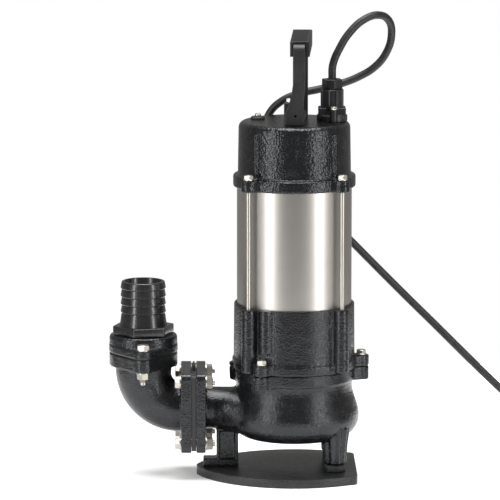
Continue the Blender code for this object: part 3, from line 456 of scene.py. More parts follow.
def fixed(body, slot, *nodes):
    """Put a finished piece on the fixed body and let it stand for its CAD nodes."""
    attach(body, "root")
    if nodes:
        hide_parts(*nodes)
    return body


def stand_in(body, material, slot, *nodes):
    """Finish a piece and let it stand for its CAD nodes."""
    return fixed(applied(body, material), slot, *nodes)


def copy_of(mesh, name, node, at, turn=(0, 0, 0)):
    """Another fastener with the same mesh, at the CAD node's place."""
    fixed(add_object(name, mesh, at, turn), "fastener", node)


# ---- shape tools --------------------------------------------------------------------------------
def mesh_from(name, bm):
    mesh = bpy.data.meshes.new(name)
    bmesh.ops.recalc_face_normals(bm, faces=bm.faces)
    bm.to_mesh(mesh)
    bm.free()
    return mesh


def turned(name, profile, steps=FINE, ring=False, at=(0, 0, 0), turn=(0, 0, 0)):
    """A profile of (radius, height) points, down the outer side, spun about Z."""
    mesh = bpy.data.meshes.new(name)
    edges = [(i, i + 1) for i in range(len(profile) - 1)]
    if ring:
        edges.append((len(profile) - 1, 0))
    mesh.from_pydata([(radius, 0.0, height) for radius, height in profile], edges, [])
    body = add_object(name, mesh, at=at, turn=turn)
    spin = body.modifiers.new("Spin", "SCREW")
    spin.axis = "Z"
    spin.angle = math.tau
    spin.steps = steps
    spin.render_steps = steps
    spin.use_merge_vertices = True
    spin.merge_threshold = 0.00001
    return body


def rod(name, radius, start, end, sides=ROUND, end_radius=None, spin=0.0):
    """A cylinder or cone between two points."""
    start = Vector(start)
    along = Vector(end) - start
    place = Matrix.Translation(start + along / 2)
    place = place @ along.to_track_quat("Z", "X").to_matrix().to_4x4()
    place = place @ Matrix.Rotation(spin, 4, "Z")
    bm = bmesh.new()
    bmesh.ops.create_cone(bm, cap_ends=True, segments=sides, radius1=radius,
                          radius2=radius if end_radius is None else end_radius,
                          depth=along.length, matrix=place)
    return add_object(name, mesh_from(name, bm))


def block(name, low, high, edge=0.0, segments=3):
    """A box between two corners, with its edges rounded by edge."""
    low = Vector(low)
    high = Vector(high)
    bm = bmesh.new()
    bmesh.ops.create_cube(bm, size=1.0)
    bmesh.ops.scale(bm, vec=high - low, verts=bm.verts)
    bmesh.ops.translate(bm, vec=(low + high) / 2, verts=bm.verts)
    if edge:
        bmesh.ops.bevel(bm, geom=list(bm.edges), offset=edge, segments=segments, profile=0.5, affect="EDGES")
    return add_object(name, mesh_from(name, bm))


def welded(body):
    """A plain welded mesh of an object with its modifiers applied."""
    mesh = evaluated_mesh(body)
    bm = bmesh.new()
    bm.from_mesh(mesh)
    bmesh.ops.remove_doubles(bm, verts=bm.verts, dist=0.000005)
    bm.to_mesh(mesh)
    bm.free()
    mesh.materials.clear()
    return mesh


def polyline(name, dimensions, places):
    """A curve of straight stretches, with its spline."""
    curve = bpy.data.curves.new(name, "CURVE")
    curve.dimensions = dimensions
    spline = curve.splines.new("POLY")
    spline.points.add(len(places) - 1)
    for point, place in zip(spline.points, places):
        point.co = (*place, 1.0)
    return curve, spline


def curve_body(name, curve):
    """Turn a curve into a welded mesh object and remove the curve."""
    holder = bpy.data.objects.new(name + "_curve", curve)
    WORK.objects.link(holder)
    mesh = welded(holder)
    bpy.data.objects.remove(holder, do_unlink=True)
    return add_object(name, mesh)


def flat(name, outline, low, high, axis="Z"):
    """A flat outline with thickness from low to high along axis.

    The outline is (x, y) for axis Z, (y, z) for axis X and (x, z) for axis Y.
    """
    curve, spline = polyline(name, "2D", [(u, v, 0.0) for u, v in outline])
    curve.fill_mode = "BOTH"
    curve.extrude = (high - low) / 2
    spline.use_cyclic_u = True
    body = curve_body(name, curve)
    middle = (low + high) / 2
    frames = {
        "Z": Matrix.Translation((0, 0, middle)),
        "X": Matrix(((0, 0, 1, middle), (1, 0, 0, 0), (0, 1, 0, 0), (0, 0, 0, 1))),
        "Y": Matrix(((1, 0, 0, 0), (0, 0, -1, middle), (0, 1, 0, 0), (0, 0, 0, 1))),
    }
    body.data.transform(frames[axis])
    return body


def tube_along(name, points, radius, fineness, taper=1.0):
    """A round bar along a line of points, starting at taper times its radius."""
    curve, spline = polyline(name, "3D", points)
    curve.bevel_depth = radius
    curve.bevel_resolution = fineness
    curve.use_fill_caps = True
    for i, point in enumerate(spline.points):
        point.radius = taper + (1.0 - taper) * (i / (len(points) - 1)) ** 1.5
    return curve_body(name, curve)


def combine(body, operation, tools):
    for tool in tools:
        tool.hide_render = True
        step = body.modifiers.new(tool.name, "BOOLEAN")
        step.operation = operation
        step.object = tool
        step.solver = "EXACT"


def join(body, *tools):
    combine(body, "UNION", tools)


def cut(body, *tools):
    combine(body, "DIFFERENCE", tools)


def arc(centre, radius, start, end, count):
    """Points on an arc, angles in degrees, both ends included."""
    angles = [math.radians(start + (end - start) * i / count) for i in range(count + 1)]
    return [(centre[0] + radius * math.cos(a), centre[1] + radius * math.sin(a)) for a in angles]


def rounded(half_u, half_v, radius, centre=(0.0, 0.0), count=6):
    """A rectangle outline with round corners, anticlockwise."""
    points = []
    for quarter, (su, sv) in enumerate(((1, 1), (-1, 1), (-1, -1), (1, -1))):
        middle = (centre[0] + su * (half_u - radius), centre[1] + sv * (half_v - radius))
        points += arc(middle, radius, 90 * quarter, 90 * quarter + 90, count)
    return points


def lug(name, angle, reach, radius, low, high, root=0.0):
    """A radial lug: a round end at reach, with sides that widen to root if it is given."""
    inner = 0.058
    shoulder = [(0.0700, root)] if root else []
    low_side = [(inner, -max(root, radius)), *((x, -y) for x, y in shoulder)]
    high_side = [*shoulder, (inner, max(root, radius))]
    outline = [*low_side, *arc((reach, 0.0), radius, -90, 90, 16), *high_side]
    body = flat(name, outline, low, high)
    body.data.transform(Matrix.Rotation(math.radians(angle), 4, "Z"))
    return body


def on_circle(radius, angle, height=0.0):
    a = math.radians(angle)
    return Vector((radius * math.cos(a), radius * math.sin(a), height))


def lofted(name, loops):
    """A solid through closed loops of points that all have the same count."""
    bm = bmesh.new()
    rings = [[bm.verts.new(place) for place in loop] for loop in loops]
    sides = len(rings[0])
    for near, far in zip(rings, rings[1:]):
        for i in range(sides):
            bm.faces.new((near[i], near[(i + 1) % sides], far[(i + 1) % sides], far[i]))
    bm.faces.new(rings[0])
    bm.faces.new(rings[-1])
    return add_object(name, mesh_from(name, bm))


def drill_circle(body, circle, angles, low, high):
    """Drill a bolt hole from low to high at each of the angles on a circle round Z."""
    for angle in angles:
        cut(body, rod("bolt_hole", BOLT_HOLE, on_circle(circle, angle, low), on_circle(circle, angle, high),
                      SMALL))


def drill_square(body, low, high):
    """Drill the four bolt holes of a square flange, along X from low to high."""
    for y in (-FLANGE_BOLT, FLANGE_BOLT):
        for z in (OUTLET_Z - FLANGE_BOLT, OUTLET_Z + FLANGE_BOLT):
            cut(body, rod("flange_hole", FLANGE_HOLE, (low, y, z), (high, y, z), SMALL))


# ---- stand --------------------------------------------------------------------------------------
def make_stand():
    def half_depth(x):
        return math.sqrt(PLATE_ARC ** 2 - x ** 2) - PLATE_OFFSET

    count = 60
    corner = 0.009
    xs = [PLATE_LEFT + (PLATE_RIGHT - corner - PLATE_LEFT) * i / count for i in range(count + 1)]
    front = [(x, -half_depth(x)) for x in xs]
    side = half_depth(PLATE_RIGHT - corner)
    turn = arc((PLATE_RIGHT - corner, -side + corner), corner, -90, 0, 8)
    back = [(x, -y) for x, y in reversed(front + turn)]
    plate = flat("foot_plate", front + turn + back, 0.0, PLATE_TOP)
    chamfered(plate, 0.0012)
    stand_in(plate, PLATE_PAINT, "plate", "base_plate")
    for side, y in LEGS:
        nut = rod("leg_nut_" + side, 0.0128, (LEG_X, y, PLATE_TOP + GAP), (LEG_X, y, 0.0187), 6,
                  end_radius=0.0120, spin=math.radians(15))
        chamfered(nut, 0.0008)
        stand_in(nut, SMOOTH_ENAMEL, "casting", "stand_nut_" + side)


# ---- pump casing --------------------------------------------------------------------------------
FLANGE_OUTLINE = rounded(FLANGE_HALF, FLANGE_HALF, 0.006, (0, OUTLET_Z))

# The casing neck's elliptical sections: (x, half width, half height, height of the centre).
NECK_SECTIONS = [
    (CASING_FLANGE[0] + 0.004, NECK_R, NECK_R, 0.0785), (-0.0930, 0.0255, NECK_R, 0.0783),
    (-0.0840, 0.0290, 0.0247, 0.0778), (-0.0760, 0.0340, 0.0252, 0.0771), (-0.0670, 0.0405, 0.0260, 0.0760),
    (-0.0560, 0.0490, 0.0268, 0.0748), (-0.0440, 0.0575, 0.0274, 0.0740), (-0.0320, 0.0640, 0.0276, 0.0738),
    (-0.0200, 0.0660, 0.0270, 0.0738),
]


def casing_neck():
    sides = 96
    turns = [math.tau * i / sides for i in range(sides)]
    loops = [[(x, half_width * math.cos(t), middle + half_height * math.sin(t)) for t in turns]
             for x, half_width, half_height, middle in NECK_SECTIONS]
    return lofted("neck", loops)


def fluted_leg(name, y):
    """A leg with ten flutes, from its narrow tip up into the casing."""
    sides = 80
    sections = [(0.0190, 0.0112), (0.0205, 0.0124), (0.0300, 0.0130), (0.0420, 0.0137), (0.0520, 0.0150),
                (0.0620, 0.0160)]
    loops = []
    for height, radius in sections:
        waves = [radius * (1.0 + 0.10 * math.cos(10 * math.tau * i / sides)) for i in range(sides)]
        loops.append([on_circle(wave, 360 * i / sides, height) + Vector((LEG_X, y, 0))
                      for i, wave in enumerate(waves)])
    return lofted(name, loops)


def make_casing():
    outer = [(0, CASING_TOP), (CASING_R, CASING_TOP), (CASING_R, 0.1142), (0.0680, 0.1126), (0.0676, 0.1070),
             (0.0680, 0.1015), (0.0696, 0.0950), (0.0722, 0.0870), (0.0746, 0.0795), (0.0757, 0.0740),
             (0.0758, 0.0695), (0.0750, 0.0640), (0.0730, 0.0588), (0.0694, 0.0535), (0.0640, 0.0490),
             (0.0580, 0.0462), (0.0520, CASING_BOTTOM), (0, CASING_BOTTOM)]
    casing = turned("casing_casting", outer)
    flange = flat("casing_flange", FLANGE_OUTLINE, *CASING_FLANGE, "X")
    raised = rod("casing_raised_face", RAISED_R, (CASING_FLANGE[0] - 0.0013, 0, OUTLET_Z),
                 (CASING_FLANGE[0] + 0.002, 0, OUTLET_Z))
    join(casing, casing_neck(), flange, raised)
    for angle in LUG_ANGLES:
        join(casing, lug("casing_lug_%d" % angle, angle, LUG_BOLT_CIRCLE, 0.009, 0.1122, CASING_TOP - 0.0001,
                         root=LUG_ROOT))
    join(casing, lug("casing_dowel_lug", 180, 0.0675, 0.008, 0.1115, CASING_TOP - 0.0001))
    for side, y in LEGS:
        join(casing, fluted_leg("leg_" + side, y))
    column = block("foot_column", (-0.0905, -0.0110, PLATE_TOP + GAP), (-0.0650, 0.0110, 0.0580))
    for side in (-1, 1):
        cut(column, block("column_recess_%d" % side, (-0.0870, min(side * 0.0070, side * 0.0150), 0.0185),
                          (-0.0690, max(side * 0.0070, side * 0.0150), 0.0520)))
    join(casing, column,
         block("foot_pad", (-0.1060, -0.0110, PLATE_TOP + GAP), (-0.0880, 0.0110, 0.0195)))
    chamber = [(0, 0.1300), (COVER_R, 0.1300), (COVER_R, 0.1077), (0.0560, 0.1077), (0.0560, 0.0990),
               (0.0620, 0.0965), (CHAMBER_R, 0.0800), (CHAMBER_R, 0.0670), (0.0610, 0.0570),
               (0.0500, 0.0505), (0, 0.0505)]
    cut(casing, turned("chamber", chamber),
        rod("outlet_bore", OUTLET_R, (-0.125, 0, OUTLET_Z), (-0.050, 0, OUTLET_Z)),
        rod("inlet_bore", INLET_R, (0, 0, 0.030), (0, 0, 0.055)))
    drill_square(casing, -0.120, -0.098)
    drill_circle(casing, LUG_BOLT_CIRCLE, LUG_ANGLES, 0.105, 0.135)
    cast(casing, VOXEL, 5)
    applied(casing, CASTING)
    for side in (-1, 1):
        melted(casing, (-0.0480, side * 0.0560, 0.0740), 0.036, 80)
    melted(casing, (-0.0700, 0.0, 0.1020), 0.022, 60)
    stand_in(casing, CASTING, "casting", "pump_casing")


# ---- check valve and discharge ------------------------------------------------------------------
def make_valve():
    sheet = flat("valve_sheet", rounded(0.0445, 0.0445, 0.005, (0, OUTLET_Z)), *VALVE_SHEET, "X")
    tab = block("sheet_tab", (VALVE_SHEET[0] + 0.0001, -0.0120, 0.110),
                (VALVE_SHEET[1] - 0.0001, 0.0120, 0.1310), 0.0008)
    lip = flat("sheet_lip", rounded(0.0446, 0.0446, 0.005, (0, OUTLET_Z)), ELBOW_FLANGE[1] + 0.0002,
               CASING_FLANGE[0] - 0.0002, "X")
    cut(lip, rod("sheet_lip_hole", RAISED_R + 0.0008, (-0.125, 0, OUTLET_Z), (-0.110, 0, OUTLET_Z)))
    join(sheet, tab, lip)
    cut(sheet, rod("sheet_hole", 0.0243, (-0.125, 0, OUTLET_Z), (-0.110, 0, OUTLET_Z)))
    drill_square(sheet, -0.125, -0.110)
    stand_in(sheet, RUBBER, "rubber", "valve_gasket")


def oval_outline(grow=0.0):
    """A lozenge flange: a large round middle with two small round ends along Y."""
    big = OVAL_R + grow
    end = OVAL_END_R + grow
    lean = math.degrees(math.acos((big - end) / OVAL_BOLT_Y))
    right = arc((0.0, 0.0), big, lean - 90, 90 - lean, 24)
    left = arc((0.0, 0.0), big, 90 + lean, 270 - lean, 24)
    rear = arc((0.0, OVAL_BOLT_Y), end, 90 - lean, 90 + lean, 14)
    front = arc((0.0, -OVAL_BOLT_Y), end, 270 - lean, 270 + lean, 14)
    return [(x + RISER_X, y) for x, y in right + rear + left + front]


def elbow_line(start_x, top_z):
    """Centreline from the square flange, round the bend and up the riser."""
    bend = arc((ELBOW_FLANGE[0], OUTLET_Z + BEND_R), BEND_R, 270, 180, 24)
    return [(start_x, 0, OUTLET_Z)] + [(x, 0, z) for x, z in bend] + [(RISER_X, 0, top_z)]


def make_elbow():
    elbow = tube_along("elbow_casting", elbow_line(-0.1230, 0.1380), ELBOW_R, 26, ELBOW_TAPER)
    square = flat("elbow_flange", FLANGE_OUTLINE, *ELBOW_FLANGE, "X")
    raised = rod("elbow_raised_face", RAISED_R, (ELBOW_FLANGE[1] - 0.002, 0, OUTLET_Z),
                 (ELBOW_FLANGE[1] + 0.0013, 0, OUTLET_Z))
    join(elbow, square, raised, flat("elbow_top_flange", oval_outline(), *ELBOW_TOP))
    cut(elbow, tube_along("elbow_bore", elbow_line(-0.1100, 0.1600), ELBOW_BORE, 22))
    drill_square(elbow, -0.136, -0.114)
    for y in (-OVAL_BOLT_Y, OVAL_BOLT_Y):
        cut(elbow, rod("elbow_top_hole", FLANGE_HOLE, (RISER_X, y, 0.120), (RISER_X, y, 0.150), SMALL))
    cast(elbow, VOXEL, 5)
    stand_in(elbow, CASTING, "casting", "discharge_elbow")

    companion = flat("companion_casting", oval_outline(0.0004), *COMPANION)
    hub = [(0, COMPANION_HUB_TOP), (0.0362, COMPANION_HUB_TOP), (0.0384, 0.1650), (0.0393, 0.1625),
           (0.0393, 0.1510), (0, 0.1510)]
    join(companion, turned("companion_hub", hub, at=(RISER_X, 0, 0)))
    cut(companion, rod("companion_bore", 0.0240, (RISER_X, 0, 0.140), (RISER_X, 0, 0.170)))
    for y in (-OVAL_BOLT_Y, OVAL_BOLT_Y):
        cut(companion, rod("companion_hole", FLANGE_HOLE, (RISER_X, y, 0.140), (RISER_X, y, 0.160), SMALL),
            rod("companion_spotface", 0.0092, (RISER_X, y, COMPANION[1] + 0.0002), (RISER_X, y, 0.180)))
    cast(companion, VOXEL, 4)
    stand_in(companion, CASTING, "casting", "companion_flange")

    packing = flat("packing_sheet", oval_outline(-0.0012), ELBOW_TOP[1], COMPANION[0])
    cut(packing, rod("packing_bore", 0.0262, (RISER_X, 0, 0.140), (RISER_X, 0, 0.150)))
    stand_in(packing, RUBBER, "rubber")


def make_barb():
    """The hose barb: a stack of cones above a hexagon, with a spigot in the flange."""
    pitch = 0.0093
    profile = [(BARB_BORE + 0.0005, BARB_TOP), (0.0232, BARB_TOP),
               *arc((0.0236, BARB_TOP - 0.0016), 0.0016, 90, 20, 4)]
    for i in range(4):
        crest = BARB_TOP - 0.0075 - i * pitch
        profile += [(BARB_R - 0.0001, crest + 0.0010), *arc((BARB_R - 0.0007, crest), 0.0007, 40, -60, 4),
                    (BARB_R - 0.0014, crest - 0.0014)]
    profile += [(0.0258, 0.1880), (0.0266, 0.1810), (0.0274, 0.1775), (0.0276, 0.1760), (0.0276, 0.1720),
                (0.0236, 0.1720), (0.0236, 0.1500), (BARB_BORE, 0.1500), (BARB_BORE, BARB_TOP - 0.0008)]
    barb = turned("barb_moulding", profile, 128, ring=True, at=(RISER_X, 0, 0))
    hexagon = rod("barb_hexagon", 0.0363, (RISER_X, 0, COMPANION_HUB_TOP + GAP), (RISER_X, 0, 0.1764), 6,
                  spin=math.radians(-16.9))
    hexagon.data = rounded_mesh(hexagon, 0.0012)
    cut(hexagon, rod("hexagon_bore", 0.0225, (RISER_X, 0, 0.150), (RISER_X, 0, 0.190)))
    join(barb, hexagon)
    stand_in(barb, BARB_PLASTIC, "barb", "hose_barb")


def rounded_mesh(body, width):
    """The body's mesh with its sharp edges rounded."""
    chamfered(body, width)
    mesh = welded(body)
    body.modifiers.clear()
    return mesh


# ---- fasteners ----------------------------------------------------------------------------------
def thread(radius, low, high, pitch):
    """A profile of thread crests and roots from high down to low, for an end that shows."""
    points = []
    for i in range(int((high - low) / pitch)):
        top = high - i * pitch
        points += [(radius, top), (radius, top - pitch * 0.15), (radius * 0.86, top - pitch * 0.5)]
    return points


def hexagon_on_washer(name, flats, height, washer_r, washer, turn, face, drop):
    """A chamfered hexagon on its washer, which sits on z = 0."""
    corner = flats / math.sqrt(3)
    top = washer + height
    body = rod(name, corner, (0, 0, washer - 0.0002), (0, 0, top), 6, spin=math.radians(turn))
    trim = [(0, top), (corner * face, top), (corner * 1.02, top - corner * drop),
            (corner * 1.02, washer * 0.5), (0, washer * 0.5)]
    combine(body, "INTERSECT", [turned(name + "_trim", trim, 48)])
    disc = [(0, washer), (washer_r - 0.0003, washer), (washer_r, washer - 0.0003), (washer_r, 0.0002),
            (washer_r - 0.0002, 0), (0, 0)]
    join(body, turned(name + "_washer", disc, 40))
    return body


def steel_mesh(body):
    """A fastener's finished mesh, taken from its object."""
    mesh = applied(body, BOLT_STEEL, 30).data
    bpy.data.objects.remove(body, do_unlink=True)
    return mesh


def bolt_mesh(name, flats, head, shank_r, length, washer_r, washer=0.0015, pitch=0.0):
    """A hex bolt with its washer: the shank runs down, and is threaded if it has a pitch."""
    body = hexagon_on_washer(name, flats, head, washer_r, washer, 7, 0.80, 0.13)
    shank = [(0, washer / 2), (shank_r, washer / 2)]
    if pitch:
        shank += thread(shank_r, -length + 0.001, -length * 0.45, pitch)
    shank += [(shank_r * 0.9, -length + 0.0005), (shank_r * 0.75, -length), (0, -length)]
    join(body, turned(name + "_shank", shank, SMALL))
    return steel_mesh(body)


def nut_mesh(name, flats, height, hole_r, washer_r):
    """A hex nut with its washer, bored for the shank."""
    body = hexagon_on_washer(name, flats, height, washer_r, 0.0015, 11, 0.82, 0.12)
    cut(body, rod(name + "_bore", hole_r, (0, 0, -0.01), (0, 0, height + 0.02), SMALL))
    return steel_mesh(body)


TURN_LEFT = (0, -math.pi / 2, 0)
TURN_RIGHT = (0, math.pi / 2, 0)
TURN_DOWN = (math.pi, 0, 0)


def make_fasteners():
    bolt = bolt_mesh("flange_bolt_steel", 0.013, 0.0055, 0.0040, 0.0400, 0.0080, pitch=0.00125)
    nut = nut_mesh("flange_nut_steel", 0.013, 0.0065, 0.0043, 0.0080)
    places = {"front_low": (-1, -1), "front_high": (-1, 1), "rear_low": (1, -1), "rear_high": (1, 1)}
    for name, (side, level) in places.items():
        y = side * FLANGE_BOLT
        z = OUTLET_Z + level * FLANGE_BOLT
        copy_of(bolt, "flange_screw_" + name, "flange_bolt_" + name, (ELBOW_FLANGE[0] - GAP, y, z),
                TURN_LEFT)
        copy_of(nut, "flange_hexnut_" + name, "flange_nut_" + name, (CASING_FLANGE[1] + GAP, y, z),
                TURN_RIGHT)
    for side, y in (("front", -OVAL_BOLT_Y), ("rear", OVAL_BOLT_Y)):
        copy_of(bolt, "elbow_screw_" + side, "elbow_bolt_" + side, (RISER_X, y, COMPANION[1] + GAP))
        copy_of(nut, "elbow_hexnut_" + side, "elbow_nut_" + side, (RISER_X, y, ELBOW_TOP[0] - GAP),
                TURN_DOWN)
    small = bolt_mesh("casing_bolt_steel", 0.010, 0.0042, 0.0030, 0.0275, 0.0062)
    for name, angle in (("right", 0), ("rear", 120), ("front", 240)):
        copy_of(small, "casing_screw_" + name, "casing_bolt_" + name,
                on_circle(LUG_BOLT_CIRCLE, angle, LUG_TOP + GAP))
    long_rod = bolt_mesh("tie_rod_steel", 0.010, 0.0045, ROD_R, 0.1730, 0.0062)
    names = ("rear_right", "rear_left", "front_left", "front_right")
    for name, angle in zip(names, ROD_ANGLES):
        copy_of(long_rod, "through_rod_" + name, "tie_rod_" + name,
                on_circle(ROD_CIRCLE, angle, CAP_RIM_TOP + GAP))


# ---- oil housing --------------------------------------------------------------------------------
def make_housing():
    outer = [(0, HOUSING_TOP), (0.0697, HOUSING_TOP), (0.0702, 0.1450), (0.0704, 0.1395), (0.0718, 0.1380),
             (0.0720, HOUSING_BOTTOM), (0, HOUSING_BOTTOM)]
    housing = turned("housing_casting", outer)
    for angle in ROD_ANGLES:
        join(housing, lug("rod_column_%d" % angle, angle, ROD_CIRCLE - 0.0005, 0.0084, 0.1290,
                          HOUSING_TOP - 0.0001))
    for angle in LUG_ANGLES:
        join(housing, lug("housing_lug_%d" % angle, angle, LUG_BOLT_CIRCLE, 0.009, HOUSING_BOTTOM + 0.0001,
                          LUG_TOP, root=LUG_ROOT))
    join(housing, lug("housing_dowel_lug", 180, 0.0675, 0.008, HOUSING_BOTTOM + 0.0001, 0.1325))
    for angle in (120, 240):
        join(housing, lug("bolt_ridge_%d" % angle, angle, 0.0680, 0.0080, 0.1530, HOUSING_TOP - 0.0002))
    join(housing, rod("oil_plug_boss", 0.0120, (0, 0.060, OIL_PLUG_Z), (0, 0.0735, OIL_PLUG_Z)))
    oil_space = [(0, 0.1740), (0.0270, 0.1740), (0.0270, 0.1860), (COVER_R, 0.1860), (COVER_R, 0.1200),
                 (0, 0.1200)]
    motor_space = [(0, 0.2100), (TUBE_R + GAP, 0.2100), (TUBE_R + GAP, 0.1970), (0.0610, 0.1970),
                   (0.0610, 0.1925), (0.0200, 0.1925), (0.0200, 0.1812), (0, 0.1812)]
    cut(housing, turned("oil_space", oil_space), turned("motor_space", motor_space),
        rod("shaft_hole", 0.0100, (0, 0, 0.170), (0, 0, 0.186)),
        rod("oil_plug_hole", 0.0063, (0, 0.050, OIL_PLUG_Z), (0, 0.080, OIL_PLUG_Z)))
    drill_circle(housing, LUG_BOLT_CIRCLE, LUG_ANGLES, 0.120, 0.145)
    drill_circle(housing, ROD_CIRCLE, ROD_ANGLES, 0.1795, 0.210)
    cast(housing, VOXEL, 5)
    stand_in(housing, CASTING, "casting", "oil_housing")
    plug = rod("oil_screw", 0.0060, (0, 0.0625, OIL_PLUG_Z), (0, 0.0745, OIL_PLUG_Z))
    head = rod("oil_screw_head", 0.0085, (0, 0.0738, OIL_PLUG_Z), (0, 0.0790, OIL_PLUG_Z), 6)
    head.data = rounded_mesh(head, 0.0008)
    join(plug, head)
    stand_in(plug, BOLT_STEEL, "fastener", "oil_plug")


# ---- motor tube and cap -------------------------------------------------------------------------
def make_motor():
    edge = 0.0005
    tube = [(TUBE_R - edge, TUBE_TOP), (TUBE_R, TUBE_TOP - edge), (TUBE_R, TUBE_BOTTOM + edge),
            (TUBE_R - edge, TUBE_BOTTOM), (TUBE_R - TUBE_WALL, TUBE_BOTTOM), (TUBE_R - TUBE_WALL, TUBE_TOP)]
    stand_in(turned("tube_shell", tube, 192, ring=True), TUBE_STEEL, "tube", "motor_tube")

    shoulder = arc((0.0573, CAP_TOP - 0.0072), 0.0072, 90, 0, 8)
    outer = [(0, CAP_TOP), *shoulder, (CAP_R + 0.0004, CAP_RIM_TOP + 0.0012), (0.0698, CAP_RIM_TOP),
             (0.0708, CAP_RIM_TOP - 0.0012), (0.0708, CAP_BOTTOM + 0.0012), (0.0698, CAP_BOTTOM),
             (0, CAP_BOTTOM)]
    cap = turned("cap_casting", outer)
    for angle in ROD_ANGLES:
        join(cap, lug("cap_lug_%d" % angle, angle, ROD_CIRCLE, 0.0084, CAP_BOTTOM + 0.0001,
                      CAP_RIM_TOP - 0.0001, root=LUG_ROOT))
        rib = block("cap_rib_%d" % angle, (0.060, -0.0028, CAP_RIM_TOP - 0.002), (0.0683, 0.0028, 0.4040))
        rib.rotation_euler = (0, 0, math.radians(angle))
        join(cap, rib)
    inside = [(0, 0.4085), (0.0530, 0.4085), (0.0590, 0.4030), (0.0590, TUBE_TOP + GAP),
              (TUBE_R + GAP, TUBE_TOP + GAP), (TUBE_R + GAP, 0.3300), (0, 0.3300)]
    cut(cap, turned("cap_space", inside))
    drill_circle(cap, ROD_CIRCLE, ROD_ANGLES, 0.330, 0.360)
    cast(cap, VOXEL, 4)
    stand_in(cap, CAP_ENAMEL, "casting", "motor_cap")


# ---- fittings on the cap ------------------------------------------------------------------------
def crowned(body):
    """Raise the top of the handle towards its rear, as its arch does."""
    for vertex in body.data.vertices:
        up = min(1.0, max(0.0, (vertex.co.z - 0.4700) / 0.0200))
        back = min(1.0, max(0.0, (vertex.co.y + 0.0400) / 0.0500))
        vertex.co.z += CROWN * up * back


def make_handle():
    seat = CAP_TOP + GAP
    left = -0.0135
    right = 0.0065
    front_leg = [(left - 0.0025, seat), (0.0055, seat), (0.0052, 0.4400), (0.0068, 0.4560), (0.0070, 0.5000),
                 (-0.0070, 0.5000), (-0.0070, 0.4620), (-0.0085, 0.4520), (left + 0.0015, 0.4380),
                 (left - 0.0025, 0.4280)]
    handle = flat("handle_frame", front_leg, -0.0470, -0.0370, "Y")
    arch_outer = [(0.0450, seat), (0.0450, HANDLE_TOP - 0.009),
                  *arc((0.0360, HANDLE_TOP - 0.009), 0.009, 0, 90, 8),
                  *arc((-0.0380, HANDLE_TOP - 0.009), 0.009, 90, 180, 8), (-0.0470, 0.4700)]
    arch_inner = [(-0.0370, 0.4700), (-0.0370, HANDLE_TOP - 0.0145), (-0.0320, HANDLE_TOP - 0.0100),
                  (0.0300, HANDLE_TOP - 0.0100), (0.0350, HANDLE_TOP - 0.0145), (0.0350, seat)]
    join(handle, flat("handle_arch", arch_outer + arch_inner, -0.0069, 0.0069, "X"))
    join(handle, block("handle_base", (-0.0130, -0.0400, seat), (right - 0.0010, 0.0480, seat + 0.0060)),
         block("handle_boss", (-0.0190, -0.0060, seat), (-0.0075, 0.0090, 0.4360), 0.0010))
    cut(handle, rod("handle_dimple", 0.0016, (-0.0040, -0.0500, 0.4260), (-0.0040, -0.0430, 0.4260), 20),
        rod("handle_bolt_hole", 0.0025, (-0.0125, 0.0015, 0.4200), (-0.0125, 0.0015, 0.4400), SMALL))
    cast(handle, 0.00055, 4)
    applied(handle, HANDLE_PAINT)
    grip_outline = [(-0.0106, 0.4935), (-0.0073, 0.4935), (-0.0073, HANDLE_TOP + GAP),
                    (0.0073, HANDLE_TOP + GAP), (0.0073, 0.4935), (0.0120, 0.4935), (0.0120, 0.5105),
                    (0.0110, 0.5115), (-0.0096, 0.5115), (-0.0106, 0.5105)]
    grip = flat("grip_moulding", grip_outline, -0.0400, 0.0380, "Y")
    grip.data = rounded_mesh(grip, 0.0005)
    for i in range(13):
        y = -0.0360 + i * 0.0058
        cut(grip, block("grip_groove_%d" % i, (-0.0085, y - 0.0009, 0.5110), (0.0085, y + 0.0009, 0.5130)))
    applied(grip, MOULDED)
    crowned(handle)
    crowned(grip)
    place = Matrix.Translation((HANDLE_X, 0, 0)) @ Matrix.Rotation(HANDLE_TURN, 4, "Z")
    for body, slot, node in ((handle, "handle", "handle"), (grip, "plastic", "handle_grip")):
        body.data.transform(place)
        fixed(body, slot, node)
    bolt = bolt_mesh("handle_bolt_steel", 0.008, 0.0035, 0.0021, 0.0120, 0.0048, 0.0008)
    copy_of(bolt, "handle_screw", "handle_bolt", place @ Vector((-0.0125, 0.0015, 0.4360 + GAP)))


